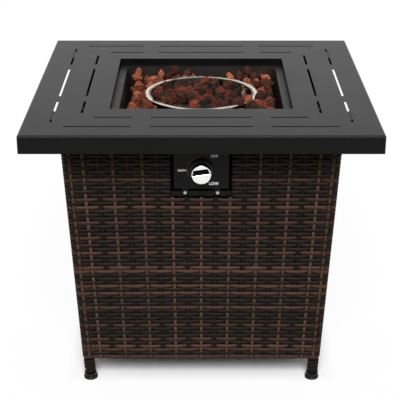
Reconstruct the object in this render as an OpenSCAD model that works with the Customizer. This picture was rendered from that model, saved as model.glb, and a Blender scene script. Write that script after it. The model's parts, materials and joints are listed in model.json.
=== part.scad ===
// Square gas fire pit table: folded steel top, drop-in fire pan, wicker base on a steel frame.
// The origin is on the floor under the middle of the table. The front, with the knob, faces -Y.

/* [Table top] */
// Width and depth of the square table top
top_w = 711; // [690:1:760]
// Height of the table top above the floor
top_h = 600; // [580:1:660]
// Thickness of the folded sheet steel
sheet = 1.5; // [1:0.1:2]
// Height of the folded rim
rim_h = 37; // [32:1:50]
// Outside radius of the bend along the rim's upper edge
rim_bend_r = 4; // [2.5:0.5:8]
// Radius of the rim's ground corners
rim_corner_r = 4; // [2.5:0.5:10]
// Width of the hem folded inwards along the foot of the rim
hem_w = 14; // [8:1:20]

/* [Slots] */
// Width of a slot
slot_w = 5; // [4:0.5:7]
// Length of the middle slot in each row
slot_mid_len = 204; // [160:1:215]
// Sheet left between two slots of a row
slot_bridge = 36; // [25:1:42]
// Distance from the ends of the outer rows to the edge of the top
slot_outer_end = 83.5; // [70:0.5:100]
// Distance from the ends of the inner rows to the edge of the top
slot_inner_end = 139.5; // [125:0.5:160]
// Distance of the outer rows from the edge of the top
slot_outer_in = 56; // [45:1:65]
// Distance of the inner rows from the edge of the top
slot_inner_in = 113; // [100:1:125]

/* [Corner braces] */
// Width of the brace tube
brace_w = 39; // [34:1:44]
// Height of the brace tube
brace_h = 20; // [15:1:25]
// Length of the brace tube
brace_len = 200; // [170:1:205]
// Distance from a corner of the top to the middle of its brace
brace_in = 130; // [125:1:135]
// Wall of the brace tube
brace_wall = 1.5; // [1:0.1:2]

/* [Fire pan] */
// Width of the square opening in the table top
opening_w = 377; // [372:1:390]
// Depth of the pan's flange below the table top
flange_depth = 16; // [12:1:24]
// Width of the ledge that carries the pan
ledge_w = 12; // [8:1:13]
// Play between the pan's flange and the opening on each side
pan_play = 0.6; // [0.3:0.1:1.2]
// Thickness of the pan's steel
pan_t = 1.2; // [0.8:0.1:1.6]
// Width of the pan's mouth
pan_mouth_w = 345; // [336:1:347]
// Width of the pan's floor
pan_floor_w = 326; // [310:1:335]
// Corner radius of the pan
pan_corner_r = 24; // [15:1:35]
// Depth from the flange to the pan's floor
pan_depth = 54; // [50:1:62]
// Diameter of the drain holes in the pan's floor
drain_d = 7; // [5:0.5:9]

/* [Burner] */
// Outside diameter of the burner's flat rim
burner_d = 246; // [238:1:250]
// Width of the burner's flat rim
burner_rim_w = 10.5; // [8:0.5:13]
// Depth of the burner's rim below the table top
burner_depth = 24; // [22:1:30]
// Diameter of the burner dish at its foot
burner_foot_d = 208; // [202:1:212]
// Thickness of the burner's steel
burner_t = 1; // [0.8:0.1:1.4]
// Depth of the flame plate below the burner's rim
plate_drop = 16; // [12:1:20]
// Diameter of a flame hole
flame_hole_d = 4; // [3:0.5:6]
// Pitch of the flame holes
flame_pitch = 14; // [12:1:18]
// Radius of the innermost ring of flame holes
flame_ring_r = 24; // [22:1:30]
// Radius of the burner's gas stub
stub_r = 8; // [7:0.5:9]

/* [Pilot] */
// Distance of the pilot from the middle of the burner
pilot_x = 92; // [86:1:95]
// Spacing of the sensor and the spark electrode
pilot_gap = 14; // [12:1:16]
// Radius of the sensor rod
sensor_r = 2.5; // [2:0.1:3]
// Radius of the electrode's ceramic sleeve
ceramic_r = 3.5; // [3:0.1:4]

/* [Lava rocks] */
// Largest radius of a rock on the flame plate
rock_r = 12; // [10:0.5:12.5]
// Largest radius of a rock round the burner
deep_rock_r = 15; // [13:0.5:15.5]
// Least radius of a rock that is heaped on another
small_rock_r = 8; // [6:0.5:9]
// Least radius of a rock's corner, as a share of its largest
rock_least = 0.78; // [0.7:0.01:0.9]

/* [Wicker base] */
// Overhang of the top past the base at the foot of the table's rim
base_in = 72.5; // [70:0.5:78]
// How far each side of the base draws in from there to the foot of the wicker
base_draw = 25.5; // [20:0.5:31]
// Height of the foot of the wicker above the floor
skirt_z = 53; // [45:1:65]
// Thickness of the wicker
wicker_t = 6; // [5:0.5:7]
// Height of one course of the weave
course_h = 8.8; // [8:0.1:12]
// Depth of the groove between two courses
course_groove = 1.4; // [0.8:0.1:2]

/* [Frame] */
// Radius of a leg tube
leg_r = 10; // [9:0.5:11]
// Wall of the leg tubes
leg_wall = 1.5; // [1:0.1:2]
// Thickness of the wicker wound round a leg
wrap_t = 2.5; // [2:0.1:3]
// Width of the square rail tubes
rail_w = 16; // [14:0.5:17]
// Wall of the square tubes
tube_wall = 1.2; // [1:0.1:2]
// Height of the lower rails above the foot of the wicker
low_rail_up = 2; // [1:0.5:6]
// Radius of the bolts that hold the top to the base
bolt_r = 3; // [2.5:0.5:3.5]

/* [Feet] */
// Radius of a foot cap
foot_r = 15; // [14:0.5:18]
// Height of a foot cap
foot_h = 14; // [12:0.5:20]
// Thickness of a foot cap's sole
foot_sole = 4; // [3:0.5:6]
// Height of the wider base of a foot cap
foot_base_h = 6; // [4:0.5:8]
// Radius of a foot cap above its base
foot_neck_r = 13; // [12:0.1:13.5]

/* [Control panel] */
// Width of the control panel
panel_w = 111; // [100:1:114]
// Depth of the panel's lower edge below the table top
panel_drop = 141; // [138:1:150]
// Depth of the folded edges of the panel
panel_fold = 11; // [9:1:12]
// Width of the cut-out in the wicker round the panel
cutout_w = 124; // [120:1:130]
// Depth of the cut-out's lower edge below the table top
cutout_drop = 159; // [157:1:170]
// Width of the tubes that frame the cut-out
trim_tube = 12; // [10:0.5:13]
// Distance between the two screws under the panel
panel_screw_gap = 66; // [50:1:80]

/* [Gas valve and knob] */
// Depth of the knob's axis below the table top
knob_drop = 100; // [96:1:104]
// Radius of the knob's face
knob_r = 19.7; // [18:0.1:22]
// Radius of the knob's skirt
knob_skirt_r = 24; // [22:0.5:26]
// Length of the knob
knob_len = 19; // [16:0.5:24]
// Height of the grip above the knob's face
grip_h = 9; // [6:0.5:12]
// Width of the grip
grip_w = 9; // [7:0.5:12]
// Slope of the grip across the knob as it stands in the photograph
grip_turn = 8; // [0:1:20]
// Travel of the knob when it is pushed
push_travel = 3; // [2:0.5:3.5]
// Radius of the valve spindle
stem_r = 4; // [3.5:0.1:4.5]
// Radius of the valve plug
plug_r = 8; // [7.5:0.1:8.5]
// Running clearance of the spindle and the plug
run_gap = 0.05; // [0.02:0.01:0.08]
// Radius of the gas inlet's thread
inlet_r = 7.9; // [7:0.1:9]
// Length of the gas inlet's thread
inlet_len = 14; // [12:1:18]
// Radius of the feed pipe
pipe_r = 4; // [3:0.5:5]

/* [Cylinder door] */
// Width of the door at the back
door_w = 360; // [340:1:380]
// Height of the door's lower edge above the floor
door_z = 92; // [88:1:100]
// Depth of the door's upper edge below the table top
door_drop = 68; // [62:1:100]
// Gap round the door
door_gap = 3; // [2.6:0.1:4]
// Thickness of the door frame's angle
angle_t = 2; // [1.5:0.1:3]
// Distance of the hinge pins outside the wicker
hinge_out = 4.4; // [4.2:0.1:6]
// Radius of a hinge knuckle
knuckle_r = 3.5; // [3:0.1:3.9]
// Radius of a hinge pin
pin_r = 1.5; // [1.2:0.1:1.8]
// Length of a hinge
hinge_len = 40; // [34:1:50]
// Length of the door pull
pull_len = 96; // [80:1:120]
// Distance of the door pull from the wicker
pull_out = 24; // [22:1:30]

/* [Hidden] */
$fn = 48;
SIDES = ["front", "right", "back", "left"];

// Clearances shared by the pieces
seat = 0.3;
slack = 0.2;
over = 1;

// Levels that hang from the table top
under_top = top_h - sheet;
rim_z = top_h - rim_h;
flange_z = top_h - flange_depth;
ledge_z = flange_z - pan_t;
pan_floor_z = flange_z - pan_depth;
burner_z = top_h - burner_depth;
plate_z = burner_z - plate_drop;
rail_top = under_top - brace_h;

// Lean of the base, whose sides draw in towards the floor
base_top_w = top_w - 2 * base_in;
base_foot_w = base_top_w - 2 * base_draw;
taper = base_draw / (rim_z - skirt_z);
lean = atan(taper);
splay = atan(taper * sqrt(2));
wrap_r = leg_r + wrap_t;
function half_at(z) = base_foot_w / 2 + taper * (z - skirt_z);
function post_at(z) = half_at(z) - wrap_r;
function slope(z) = z / cos(lean);
function along_leg(z) = z / cos(splay);

// A point of a side's own frame, seen in the table's frame, for the front
function from_front(p) = [
  p[0],
  -half_at(0) + p[1] * cos(lean) - p[2] * sin(lean),
  p[1] * sin(lean) + p[2] * cos(lean)
];

// Frame tubes stand just behind the wicker
frame_y = wicker_t + seat;
rail_lean = (frame_y + rail_w) * sin(lean);
low_rail_z = skirt_z + low_rail_up;
top_rail_z = rail_top - rail_w;
low_rail_top = low_rail_z + rail_w;

// Control panel and valve, in the front side's own frame
panel_y = 2;
panel_back = panel_y + sheet;
knob_z = slope(top_h - knob_drop);
panel_z = slope(top_h - panel_drop);
panel_top = slope(rail_top - seat);
fold_short = 4;
fold_top = slope(top_rail_z) - fold_short;
bar_y = frame_y + sheet + slack;
cutout_z = slope(top_h - cutout_drop);
screw_up = 7;
screw_z = cutout_z + screw_up;
nose_wall = 1;
nose_r = plug_r + nose_wall;
nut_t = 4;
nut_wall = 4.5;
nut_r = nose_r + nut_wall;
valve_flange_t = 3;
valve_y = panel_back + valve_flange_t;
valve_w = 34;
valve_len = 46;
valve_h = 40;
chamber_in = 6;
chamber_y = valve_y + chamber_in;
plug_len = 22;
spindle_in = 10;
spindle_end = chamber_y + slack + spindle_in;
spring_len = 7;
nose_front = panel_y - nut_t - 0.5;
push_spare = 0.6;
skirt_rear = panel_y - push_travel - push_spare;
cup_floor = nose_front - push_travel - push_spare;
knob_front = skirt_rear - knob_len;
outlet_y = valve_y + valve_len;

// Cylinder door, in the back side's own frame
door_y = frame_y;
door_z0 = slope(door_z);
door_h = slope(top_h - door_drop) - door_z0;
stile_x = door_w / 2 + door_gap;
hinge_x = door_w / 2 + door_gap / 2;
leaf_t = 1.2;
hinge_in = 70;
hinge_zs = [door_z0 + hinge_in, door_z0 + door_h - hinge_in];
catch_up = 90;
catch_z = door_z0 + door_h / 2 + catch_up;
pull_z = door_z0 + door_h / 2;
pull_x = -(door_w / 2 - rail_w / 2);
pull_r = 4;

// Colours
BLACK_COAT = "#2a2a29";
ENAMEL = "#1f1f1f";
STEEL = "#b9b7b2";
BRASS = "#b08d4a";
CHROME = "#e4e4e4";
WICKER = "#3a2c26";
PLASTIC = "#161616";
ROCK = "#6b4034";

// Basic shapes
module rounded_square(w, r) {
  square([w - 2 * r, w], center = true);
  square([w, w - 2 * r], center = true);
  for (x = [-1, 1], y = [-1, 1]) translate([x * (w / 2 - r), y * (w / 2 - r)]) circle(r);
}

module rim_profile(w, h, r) {
  translate([-w / 2, 0]) square([w, h - r]);
  translate([-w / 2 + r, 0]) square([w - 2 * r, h]);
  for (x = [-1, 1]) translate([x * (w / 2 - r), h - r]) circle(r);
}

// A square block with a bend along its four upper edges and rounded upright corners
module rim_block(w, h, bend_r, corner_r) {
  intersection() {
    rotate([90, 0, 0]) linear_extrude(w + 2 * over, center = true) rim_profile(w, h, bend_r);
    rotate([90, 0, 90]) linear_extrude(w + 2 * over, center = true) rim_profile(w, h, bend_r);
    linear_extrude(h) rounded_square(w, corner_r);
  }
}

module square_ring(outer, inner, h) {
  linear_extrude(h) difference() {
    square(outer, center = true);
    square(inner, center = true);
  }
}

module slot(len, depth) {
  linear_extrude(depth) union() {
    square([len - slot_w, slot_w], center = true);
    for (x = [-1, 1]) translate([x * (len - slot_w) / 2, 0]) circle(slot_w / 2);
  }
}

module rod(a, b, r) {
  d = b - a;
  translate(a) rotate([0, acos(d[2] / norm(d)), atan2(d[1], d[0])]) cylinder(r = r, h = norm(d));
}

// A tube swept along a list of points; across is any direction that the route never follows
function unit(v) = v / norm(v);
function heading(points, i) =
  unit(points[min(i + 1, len(points) - 1)] - points[max(i - 1, 0)]);
module swept(points, r, sides, across) {
  last = len(points) - 1;
  rings = [
    for (i = [0:last], j = [0:sides - 1])
      let (u = unit(cross(heading(points, i), across)), v = cross(heading(points, i), u), a = 360 * j / sides)
      points[i] + r * (cos(a) * u + sin(a) * v)
  ];
  skin = [
    for (i = [0:last - 1], j = [0:sides - 1])
      let (p = i * sides, q = p + sides, n = (j + 1) % sides)
      each [[p + j, q + j, q + n], [p + j, q + n, p + n]]
  ];
  ends = [
    [for (j = [0:sides - 1]) j],
    [for (j = [0:sides - 1]) last * sides + sides - 1 - j]
  ];
  polyhedron(rings, concat(skin, ends));
}

// A smooth curve through a few points
function curve_point(a, b, c, d, t) =
  0.5 * (2 * b + (c - a) * t + (2 * a - 5 * b + 4 * c - d) * t * t + (3 * b - a - 3 * c + d) * t * t * t);
function curve(points, steps) = [
  for (i = [0:len(points) - 2], k = [0:steps - 1])
    curve_point(
      points[max(i - 1, 0)], points[i], points[i + 1], points[min(i + 2, len(points) - 1)], k / steps
    ),
  points[len(points) - 1]
];

// A flat shape stood upright in a side's frame: it fills t from y = 0 inwards
module upright(t) {
  translate([0, t, 0]) rotate([90, 0, 0]) linear_extrude(t) children();
}

// A cylinder along a side's inward axis, from y0 to y1
module across(x, z, r, y0, y1) {
  translate([x, y0, z]) rotate([-90, 0, 0]) cylinder(r = r, h = y1 - y0);
}

module on_side(k) {
  rotate([0, 0, 90 * k]) translate([0, -half_at(0), 0]) rotate([lean, 0, 0]) children();
}

// The axis of a leg, from the floor upwards
module on_leg(i) {
  rotate([0, 0, 90 * i]) translate([-post_at(0), -post_at(0), 0]) rotate([0, splay, 225]) children();
}

// Table top: a row of slots has a middle slot and one more towards each end
module slot_row(inset, end_gap) {
  end_len = (top_w - slot_mid_len) / 2 - slot_bridge - end_gap;
  step = (slot_mid_len + end_len) / 2 + slot_bridge;
  translate([0, -top_w / 2 + inset, under_top - over]) {
    slot(slot_mid_len, sheet + 2 * over);
    for (x = [-1, 1]) translate([x * step, 0, 0]) slot(end_len, sheet + 2 * over);
  }
}

module tabletop() {
  color(BLACK_COAT) difference() {
    union() {
      translate([0, 0, rim_z]) difference() {
        rim_block(top_w, rim_h, rim_bend_r, rim_corner_r);
        translate([0, 0, sheet]) rim_block(
          top_w - 2 * sheet, rim_h - 2 * sheet, rim_bend_r - sheet, rim_corner_r - sheet
        );
        translate([0, 0, -over]) linear_extrude(sheet + 2 * over)
          square(top_w - 2 * hem_w, center = true);
      }
      translate([0, 0, ledge_z - sheet])
        square_ring(opening_w + 2 * sheet, opening_w, under_top - ledge_z + 2 * sheet);
      translate([0, 0, ledge_z - sheet]) square_ring(opening_w + 2 * sheet, opening_w - 2 * ledge_w, sheet);
    }
    translate([0, 0, ledge_z]) linear_extrude(top_h) square(opening_w, center = true);
    for (k = [0:3]) rotate([0, 0, 90 * k]) {
      slot_row(slot_outer_in, slot_outer_end);
      slot_row(slot_inner_in, slot_inner_end);
    }
  }
}

// Bolts that tie each top rail to the brace above it
brace_out = top_w / sqrt(2) - brace_in;
rail_y = half_at(top_rail_z) - frame_y - rail_w / 2;
bolt_back = 18;
bolt_x = brace_out * sqrt(2) - rail_y - bolt_back;
bolt_head_h = 4;
bolt_past = 10;
module at_bolts() {
  for (k = [0:3], x = [-1, 1]) rotate([0, 0, 90 * k]) translate([x * bolt_x, -rail_y, 0]) children();
}

module corner_braces() {
  color(BLACK_COAT) difference() {
    for (k = [0:3]) rotate([0, 0, 90 * k - 135]) translate([brace_out, 0, rail_top])
      difference() {
        translate([-brace_w / 2, -brace_len / 2, 0]) cube([brace_w, brace_len, brace_h]);
        translate([-brace_w / 2 + brace_wall, -brace_len / 2 - over, brace_wall])
          cube([brace_w - 2 * brace_wall, brace_len + 2 * over, brace_h - 2 * brace_wall]);
      }
    at_bolts() translate([0, 0, rail_top - over]) cylinder(r = bolt_r + slack, h = brace_wall + 2 * over);
  }
}

module top_bolts() {
  color(STEEL) at_bolts() {
    translate([0, 0, top_rail_z - bolt_head_h]) cylinder(r = 2 * bolt_r, h = bolt_head_h, $fn = 6);
    translate([0, 0, top_rail_z - bolt_head_h / 2]) cylinder(r = bolt_r, h = bolt_head_h / 2 + rail_w + bolt_past);
  }
}

// Fire pan
module tub(top_width, floor_width, top_z, floor_z) {
  hull() {
    translate([0, 0, floor_z]) linear_extrude(0.1) rounded_square(floor_width, pan_corner_r, $fn = 32);
    translate([0, 0, top_z - 0.1]) linear_extrude(0.1) rounded_square(top_width, pan_corner_r, $fn = 32);
  }
}

// Where the sensor and the electrode stand
pilot_spots = [[pilot_x, pilot_gap / 2], [pilot_x, -pilot_gap / 2]];
lead_hole_r = ceramic_r + slack;
drain_at = pan_floor_w / 2 - pan_corner_r;

module fire_pan() {
  color(ENAMEL) difference() {
    union() {
      translate([0, 0, ledge_z]) linear_extrude(pan_t) square(opening_w - 2 * pan_play, center = true);
      tub(pan_mouth_w + 2 * pan_t, pan_floor_w + 2 * pan_t, flange_z - pan_t / 2, pan_floor_z - pan_t);
    }
    tub(pan_mouth_w, pan_floor_w, flange_z + over, pan_floor_z);
    translate([0, 0, pan_floor_z - 2 * pan_t]) {
      cylinder(r = stub_r + slack, h = 4 * pan_t);
      for (p = pilot_spots) translate(p) cylinder(r = lead_hole_r, h = 4 * pan_t);
      for (x = [-1, 1], y = [-1, 1]) translate([x * drain_at, y * drain_at, 0])
        cylinder(d = drain_d, h = 4 * pan_t);
    }
  }
}

// Burner
burner_r = burner_d / 2;
dish_r = burner_r - burner_rim_w;
foot_ring_r = burner_foot_d / 2;
function dish_at(z) =
  foot_ring_r + (dish_r - foot_ring_r) * (z - pan_floor_z) / (burner_z - pan_floor_z);
plate_r = dish_at(plate_z - burner_t) - burner_t - seat;

module burner_dish() {
  color(STEEL) difference() {
    rotate_extrude($fn = 96) polygon([
      [0, pan_floor_z],
      [foot_ring_r, pan_floor_z],
      [dish_r, burner_z - burner_t],
      [burner_r, burner_z - burner_t],
      [burner_r, burner_z],
      [dish_r - burner_t, burner_z],
      [foot_ring_r - burner_t, pan_floor_z + burner_t],
      [0, pan_floor_z + burner_t]
    ]);
    translate([0, 0, pan_floor_z - over]) {
      cylinder(r = stub_r + slack, h = burner_t + 2 * over);
      for (p = pilot_spots) translate(p) cylinder(r = lead_hole_r, h = burner_t + 2 * over);
    }
  }
}

module flame_plate() {
  color(STEEL) translate([0, 0, plate_z - burner_t]) linear_extrude(burner_t) difference() {
    circle(plate_r, $fn = 96);
    for (r = [flame_ring_r:flame_pitch:plate_r - flame_pitch / 2]) {
      count = floor(2 * PI * r / flame_pitch);
      for (i = [0:count - 1]) {
        spot = r * [cos(360 * (i + 0.5) / count), sin(360 * (i + 0.5) / count)];
        clear = min([for (p = pilot_spots) norm(p - spot)]);
        if (clear > lead_hole_r + flame_hole_d) translate(spot) circle(d = flame_hole_d, $fn = 16);
      }
    }
    for (p = pilot_spots) translate(p) circle(lead_hole_r);
  }
}

stub_len = 34;
stub_foot = pan_floor_z - stub_len;
stub_wall = 2;
collar_w = 6;
collar_h = 3;
module burner_stub() {
  height = stub_len + burner_t + collar_h;
  color(STEEL) difference() {
    union() {
      translate([0, 0, stub_foot]) cylinder(r = stub_r, h = height);
      translate([0, 0, pan_floor_z + burner_t]) cylinder(r = stub_r + collar_w, h = collar_h);
    }
    translate([0, 0, stub_foot - over]) cylinder(r = stub_r - stub_wall, h = height + 2 * over);
  }
}

nut_h = 8;
module stub_nut() {
  color(BRASS) translate([0, 0, pan_floor_z - pan_t - nut_h]) difference() {
    cylinder(r = stub_r + collar_w, h = nut_h, $fn = 6);
    translate([0, 0, -over]) cylinder(r = stub_r + run_gap, h = nut_h + 2 * over);
  }
}

// Air and gas mix in a sleeve with side windows, above the jet
mixer_wall = 3;
mixer_r = stub_r + mixer_wall;
mixer_len = 44;
mixer_lap = 12;
mixer_z = stub_foot + mixer_lap - mixer_len;
window_w = 7;
window_h = 14;
window_up = 12;
module mixer_tube() {
  color(STEEL) difference() {
    translate([0, 0, mixer_z]) cylinder(r = mixer_r, h = mixer_len);
    translate([0, 0, mixer_z - over]) cylinder(r = stub_r + run_gap, h = mixer_len + 2 * over);
    for (a = [0, 90]) rotate([0, 0, a]) translate([-mixer_r - over, -window_w / 2, mixer_z + window_up])
      cube([2 * (mixer_r + over), window_w, window_h]);
  }
}

jet_h = 12;
jet_spigot = 8;
jet_hole_r = 1;
jet_z = mixer_z - jet_h;
jet_port = jet_z + jet_h / 2;
module gas_jet() {
  color(BRASS) difference() {
    union() {
      translate([0, 0, jet_z]) cylinder(r = mixer_r, h = jet_h, $fn = 6);
      translate([0, 0, jet_z + jet_h]) cylinder(r = stub_r, h = jet_spigot);
    }
    translate([0, 0, jet_port]) cylinder(r = jet_hole_r, h = jet_h + jet_spigot);
    translate([0, 0, jet_port]) rotate([90, 0, 0]) cylinder(r = pipe_r + run_gap, h = mixer_r + over);
  }
}

// The feed pipe runs from the valve's outlet to the jet, in one S bend
outlet_len = 10;
pipe_in = 2;
pipe_bend = 60;
pipe_straight = 12;
pipe_start = from_front([0, outlet_y + pipe_in, knob_z]);
pipe_clear = from_front([0, outlet_y + outlet_len + over, knob_z]);
pipe_out = from_front([0, outlet_y + outlet_len + pipe_straight, knob_z]);
pipe_end = [0, -pipe_r, jet_port];
module feed_pipe() {
  bend = [
    pipe_clear,
    pipe_out,
    [0, pipe_out[1] + pipe_bend, (pipe_out[2] + jet_port) / 2],
    [0, pipe_out[1] + 2 * pipe_bend, jet_port],
    [0, -mixer_r - pipe_straight, jet_port],
    pipe_end
  ];
  color(BRASS) swept(concat([pipe_start], curve(bend, 5)), pipe_r, 12, [1, 0, 0]);
}

// Pilot
bracket_w = pilot_gap + 4 * ceramic_r;
bracket_h = 12;
bracket_edge = 3;
bracket_in = pilot_x - ceramic_r - bracket_edge;
guard_r = 4;
guard_wire = 1.2;
guard_drop = 6;
guard_top = top_h - guard_drop;
pilot_drop = 12;
pilot_top = top_h - pilot_drop;
module pilot_bracket() {
  shelf_z = plate_z + bracket_h;
  wire_len = guard_top - guard_r - shelf_z;
  color(STEEL) {
    translate([bracket_in, -bracket_w / 2, plate_z]) cube([sheet, bracket_w, bracket_h]);
    difference() {
      translate([bracket_in, -bracket_w / 2, shelf_z]) cube([2 * (ceramic_r + bracket_edge), bracket_w, sheet]);
      for (p = pilot_spots) translate([p[0], p[1], plate_z]) cylinder(r = ceramic_r + slack, h = 2 * bracket_h);
    }
    translate([bracket_in + guard_wire + seat, 0, shelf_z]) {
      for (y = [-1, 1]) translate([0, y * guard_r, 0]) cylinder(r = guard_wire, h = wire_len);
      translate([0, 0, wire_len]) rotate([90, 0, 90]) rotate_extrude(angle = 180)
        translate([guard_r, 0]) circle(guard_wire);
    }
  }
}

// The sensor's and the electrode's leads run under the pan to the side of the valve
lead_r = 1.5;
pilot_below = 12;
pilot_foot = pan_floor_z - pilot_below;
valve_side = valve_w / 2 + seat;
lead_step = 8;
sensor_port = 26;
spark_port = 12;
port_up = 9;
module pilot_lead(spot, gap, out_y, out_z) {
  top = [spot[0], spot[1], pilot_foot];
  end = from_front([valve_side, out_y, out_z]);
  route = [
    top - [0, 0, gap],
    top - [0, 0, lead_step],
    top - lead_step * [0.8, 5, 2.8],
    (end + top + lead_step * [2.5, 0, -5]) / 2,
    end + lead_step * [2, 1.5, 0],
    end + lead_step * [0.8, 0, 0],
    end
  ];
  swept(curve(route, 4), lead_r, 8, [1, 1, 0.4]);
}

module flame_sensor() {
  spot = pilot_spots[0];
  color(BRASS) {
    translate([spot[0], spot[1], pilot_foot]) cylinder(r = sensor_r, h = pilot_top - pilot_foot);
    pilot_lead(spot, -over, valve_y + sensor_port, knob_z + port_up);
  }
}

spark_r = 1;
spark_reach = 4;
sleeve_up = 20;
module spark_electrode() {
  spot = pilot_spots[1];
  sleeve_top = plate_z + sleeve_up;
  tip = [spot[0], spot[1], pilot_top - spark_reach];
  color("#e8e4da") translate([spot[0], spot[1], pilot_foot]) cylinder(r = ceramic_r, h = sleeve_top - pilot_foot);
  color(STEEL) {
    translate([spot[0], spot[1], sleeve_top]) cylinder(r = spark_r, h = tip[2] - sleeve_top);
    rod(tip, tip + spark_reach * [1, 0.5, 0], spark_r);
  }
}

module ignition_lead() {
  color(PLASTIC) pilot_lead(pilot_spots[1], 2 * seat, valve_y + spark_port, knob_z - port_up);
}

// Lava rocks: twenty-sided stones with uneven corners
golden = (1 + sqrt(5)) / 2;
ico = [
  for (k = [0:2], a = [-1, 1], b = [-1, 1])
    [for (j = [0:2]) j == k ? 0 : j == (k + 1) % 3 ? a : b * golden] / norm([1, golden])
];
function near(i, j) = norm(ico[i] - ico[j]) < 1.2;
function turned(f) = cross(ico[f[1]] - ico[f[0]], ico[f[2]] - ico[f[0]]) * ico[f[0]] > 0;
ico_faces = [
  for (i = [0:11], j = [i + 1:1:11], k = [j + 1:1:11])
    if (near(i, j) && near(j, k) && near(i, k)) turned([i, j, k]) ? [i, k, j] : [i, j, k]
];
function stone(r, seed) =
  let (reach = rands(rock_least, 1, len(ico), seed)) [for (i = [0:len(ico) - 1]) ico[i] * r * reach[i]];

// A stone's foot and crest are edges in the plane x = 0: corners 0 and 2 below, 1 and 3 above
function edge_z(a, b, y) = a[2] + (b[2] - a[2]) * (y - a[1]) / (b[1] - a[1]);
function lift_over(low, up) =
  let (ends = [max(low[1][1], up[0][1]), min(low[3][1], up[2][1])])
  max([for (y = ends) edge_z(low[1], low[3], y) - edge_z(up[0], up[2], y)]);

// One stone on the floor and, where cap_r leaves room for it, a second one resting on its crest
module rock_pile(at, r, cap_r, seed) {
  low = stone(r, seed);
  cap = stone(cap_r, seed + 1);
  translate(at) rotate([0, 0, rands(0, 180, 1, seed)[0]]) translate([0, 0, slack - min(low[0][2], low[2][2])]) {
    polyhedron(low, ico_faces);
    if (cap_r >= small_rock_r) translate([0, 0, lift_over(low, cap) + slack]) polyhedron(cap, ico_faces);
  }
}

// Points of a staggered grid, shifted by a share of its pitch
function grid(pitch, shift) = let (reach = ceil(pan_mouth_w / pitch)) [
  for (row = [-reach:reach], col = [-reach:reach])
    [(col + abs(row % 2) / 2 + shift) * pitch, (row + shift) * pitch * sqrt(3) / 2]
];
function in_pan(p, r) =
  max(abs(p[0]), abs(p[1])) < pan_floor_w / 2 - r - seat
  && norm(p) < (pan_floor_w / 2 - pan_corner_r) * sqrt(2) + pan_corner_r - r - seat;
function off_pilot(p, r) =
  abs(p[0] - pilot_x) > r + ceramic_r + 6 || abs(p[1]) > r + bracket_w / 2;

module rocks_inner() {
  floor_r = plate_r - rock_r - 1;
  heap_r = burner_r * 0.7;
  spots = [
    for (p = grid(2 * rock_r + seat, 0)) if (norm(p) < floor_r && off_pilot(p, rock_r)) p
  ];
  color(ROCK) for (i = [0:1:len(spots) - 1])
    rock_pile([spots[i][0], spots[i][1], plate_z], rock_r, norm(spots[i]) < heap_r ? small_rock_r : 0, 100 + 2 * i);
}

module rocks_outer() {
  clear_r = dish_at(pan_floor_z + 2 * deep_rock_r) + deep_rock_r + 1;
  spots = [
    for (p = grid(2 * deep_rock_r + seat, 0.25)) if (in_pan(p, deep_rock_r) && norm(p) > clear_r) p
  ];
  color(ROCK) for (i = [0:1:len(spots) - 1])
    rock_pile(
      [spots[i][0], spots[i][1], pan_floor_z], deep_rock_r,
      min(deep_rock_r, norm(spots[i]) - burner_r - seat), 700 + 2 * i
    );
}

// Frame
module leg(i) {
  bottom = along_leg(foot_sole) + slack;
  top = along_leg(rail_top) - leg_r * tan(splay);
  color(BLACK_COAT) on_leg(i) difference() {
    translate([0, 0, bottom]) cylinder(r = leg_r, h = top - bottom);
    translate([0, 0, bottom - over]) cylinder(r = leg_r - leg_wall, h = top - bottom + 2 * over);
  }
}

// A square rail from leg to leg; its outer face stays behind the wicker
module rail_bar(k, z, spare = 0) {
  y = half_at(z) - frame_y;
  span = 2 * post_at(z);
  rotate([0, 0, 90 * k]) translate([-span / 2, -y - spare, z - spare])
    cube([span, rail_w + 2 * spare, rail_w + 2 * spare]);
}

module rail_bore(k, z) {
  y = half_at(z) - frame_y;
  span = 2 * post_at(z);
  rotate([0, 0, 90 * k]) translate([-span / 2 - over, -y + tube_wall, z + tube_wall])
    cube([span + 2 * over, rail_w - 2 * tube_wall, rail_w - 2 * tube_wall]);
}

module leg_space(i, r) {
  on_leg(i) translate([0, 0, -50]) cylinder(r = r, h = top_h + 100);
}

// The wedge of the plan that belongs to a side, so that two rails meet in a mitre
module mitre(k) {
  rotate([0, 0, 90 * k]) linear_extrude(top_h)
    polygon([[0, -slack], [top_w, -top_w - slack], [-top_w, -top_w - slack]]);
}

module rail(k, z) {
  color(BLACK_COAT) difference() {
    intersection() {
      rail_bar(k, z);
      mitre(k);
    }
    rail_bore(k, z);
    for (i = [k, k + 1]) leg_space(i, leg_r + slack);
    if (z == top_rail_z) at_bolts() translate([0, 0, z - over]) cylinder(r = bolt_r + slack, h = rail_w + 2 * over);
  }
}

module leg_wrap(i) {
  bottom = foot_h + seat;
  top = along_leg(rail_top) - wrap_r * tan(splay) - 1;
  color(WICKER) difference() {
    on_leg(i) translate([0, 0, bottom]) cylinder(r = wrap_r, h = top - bottom);
    leg_space(i, leg_r + run_gap);
    for (k = [i, i + 3], z = [low_rail_z, top_rail_z]) rail_bar(k, z, slack);
  }
}

foot_bevel = 1;
module foot(i) {
  color(PLASTIC) intersection() {
    on_leg(i) rotate_extrude() polygon([
      [0, -foot_sole],
      [foot_r, -foot_sole],
      [foot_r, foot_base_h - foot_bevel],
      [foot_r - foot_bevel, foot_base_h],
      [foot_neck_r, foot_base_h],
      [foot_neck_r, foot_h],
      [leg_r + run_gap, foot_h],
      [leg_r + run_gap, foot_sole],
      [0, foot_sole]
    ]);
    translate([-top_w, -top_w, 0]) cube([2 * top_w, 2 * top_w, top_h]);
  }
}

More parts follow.
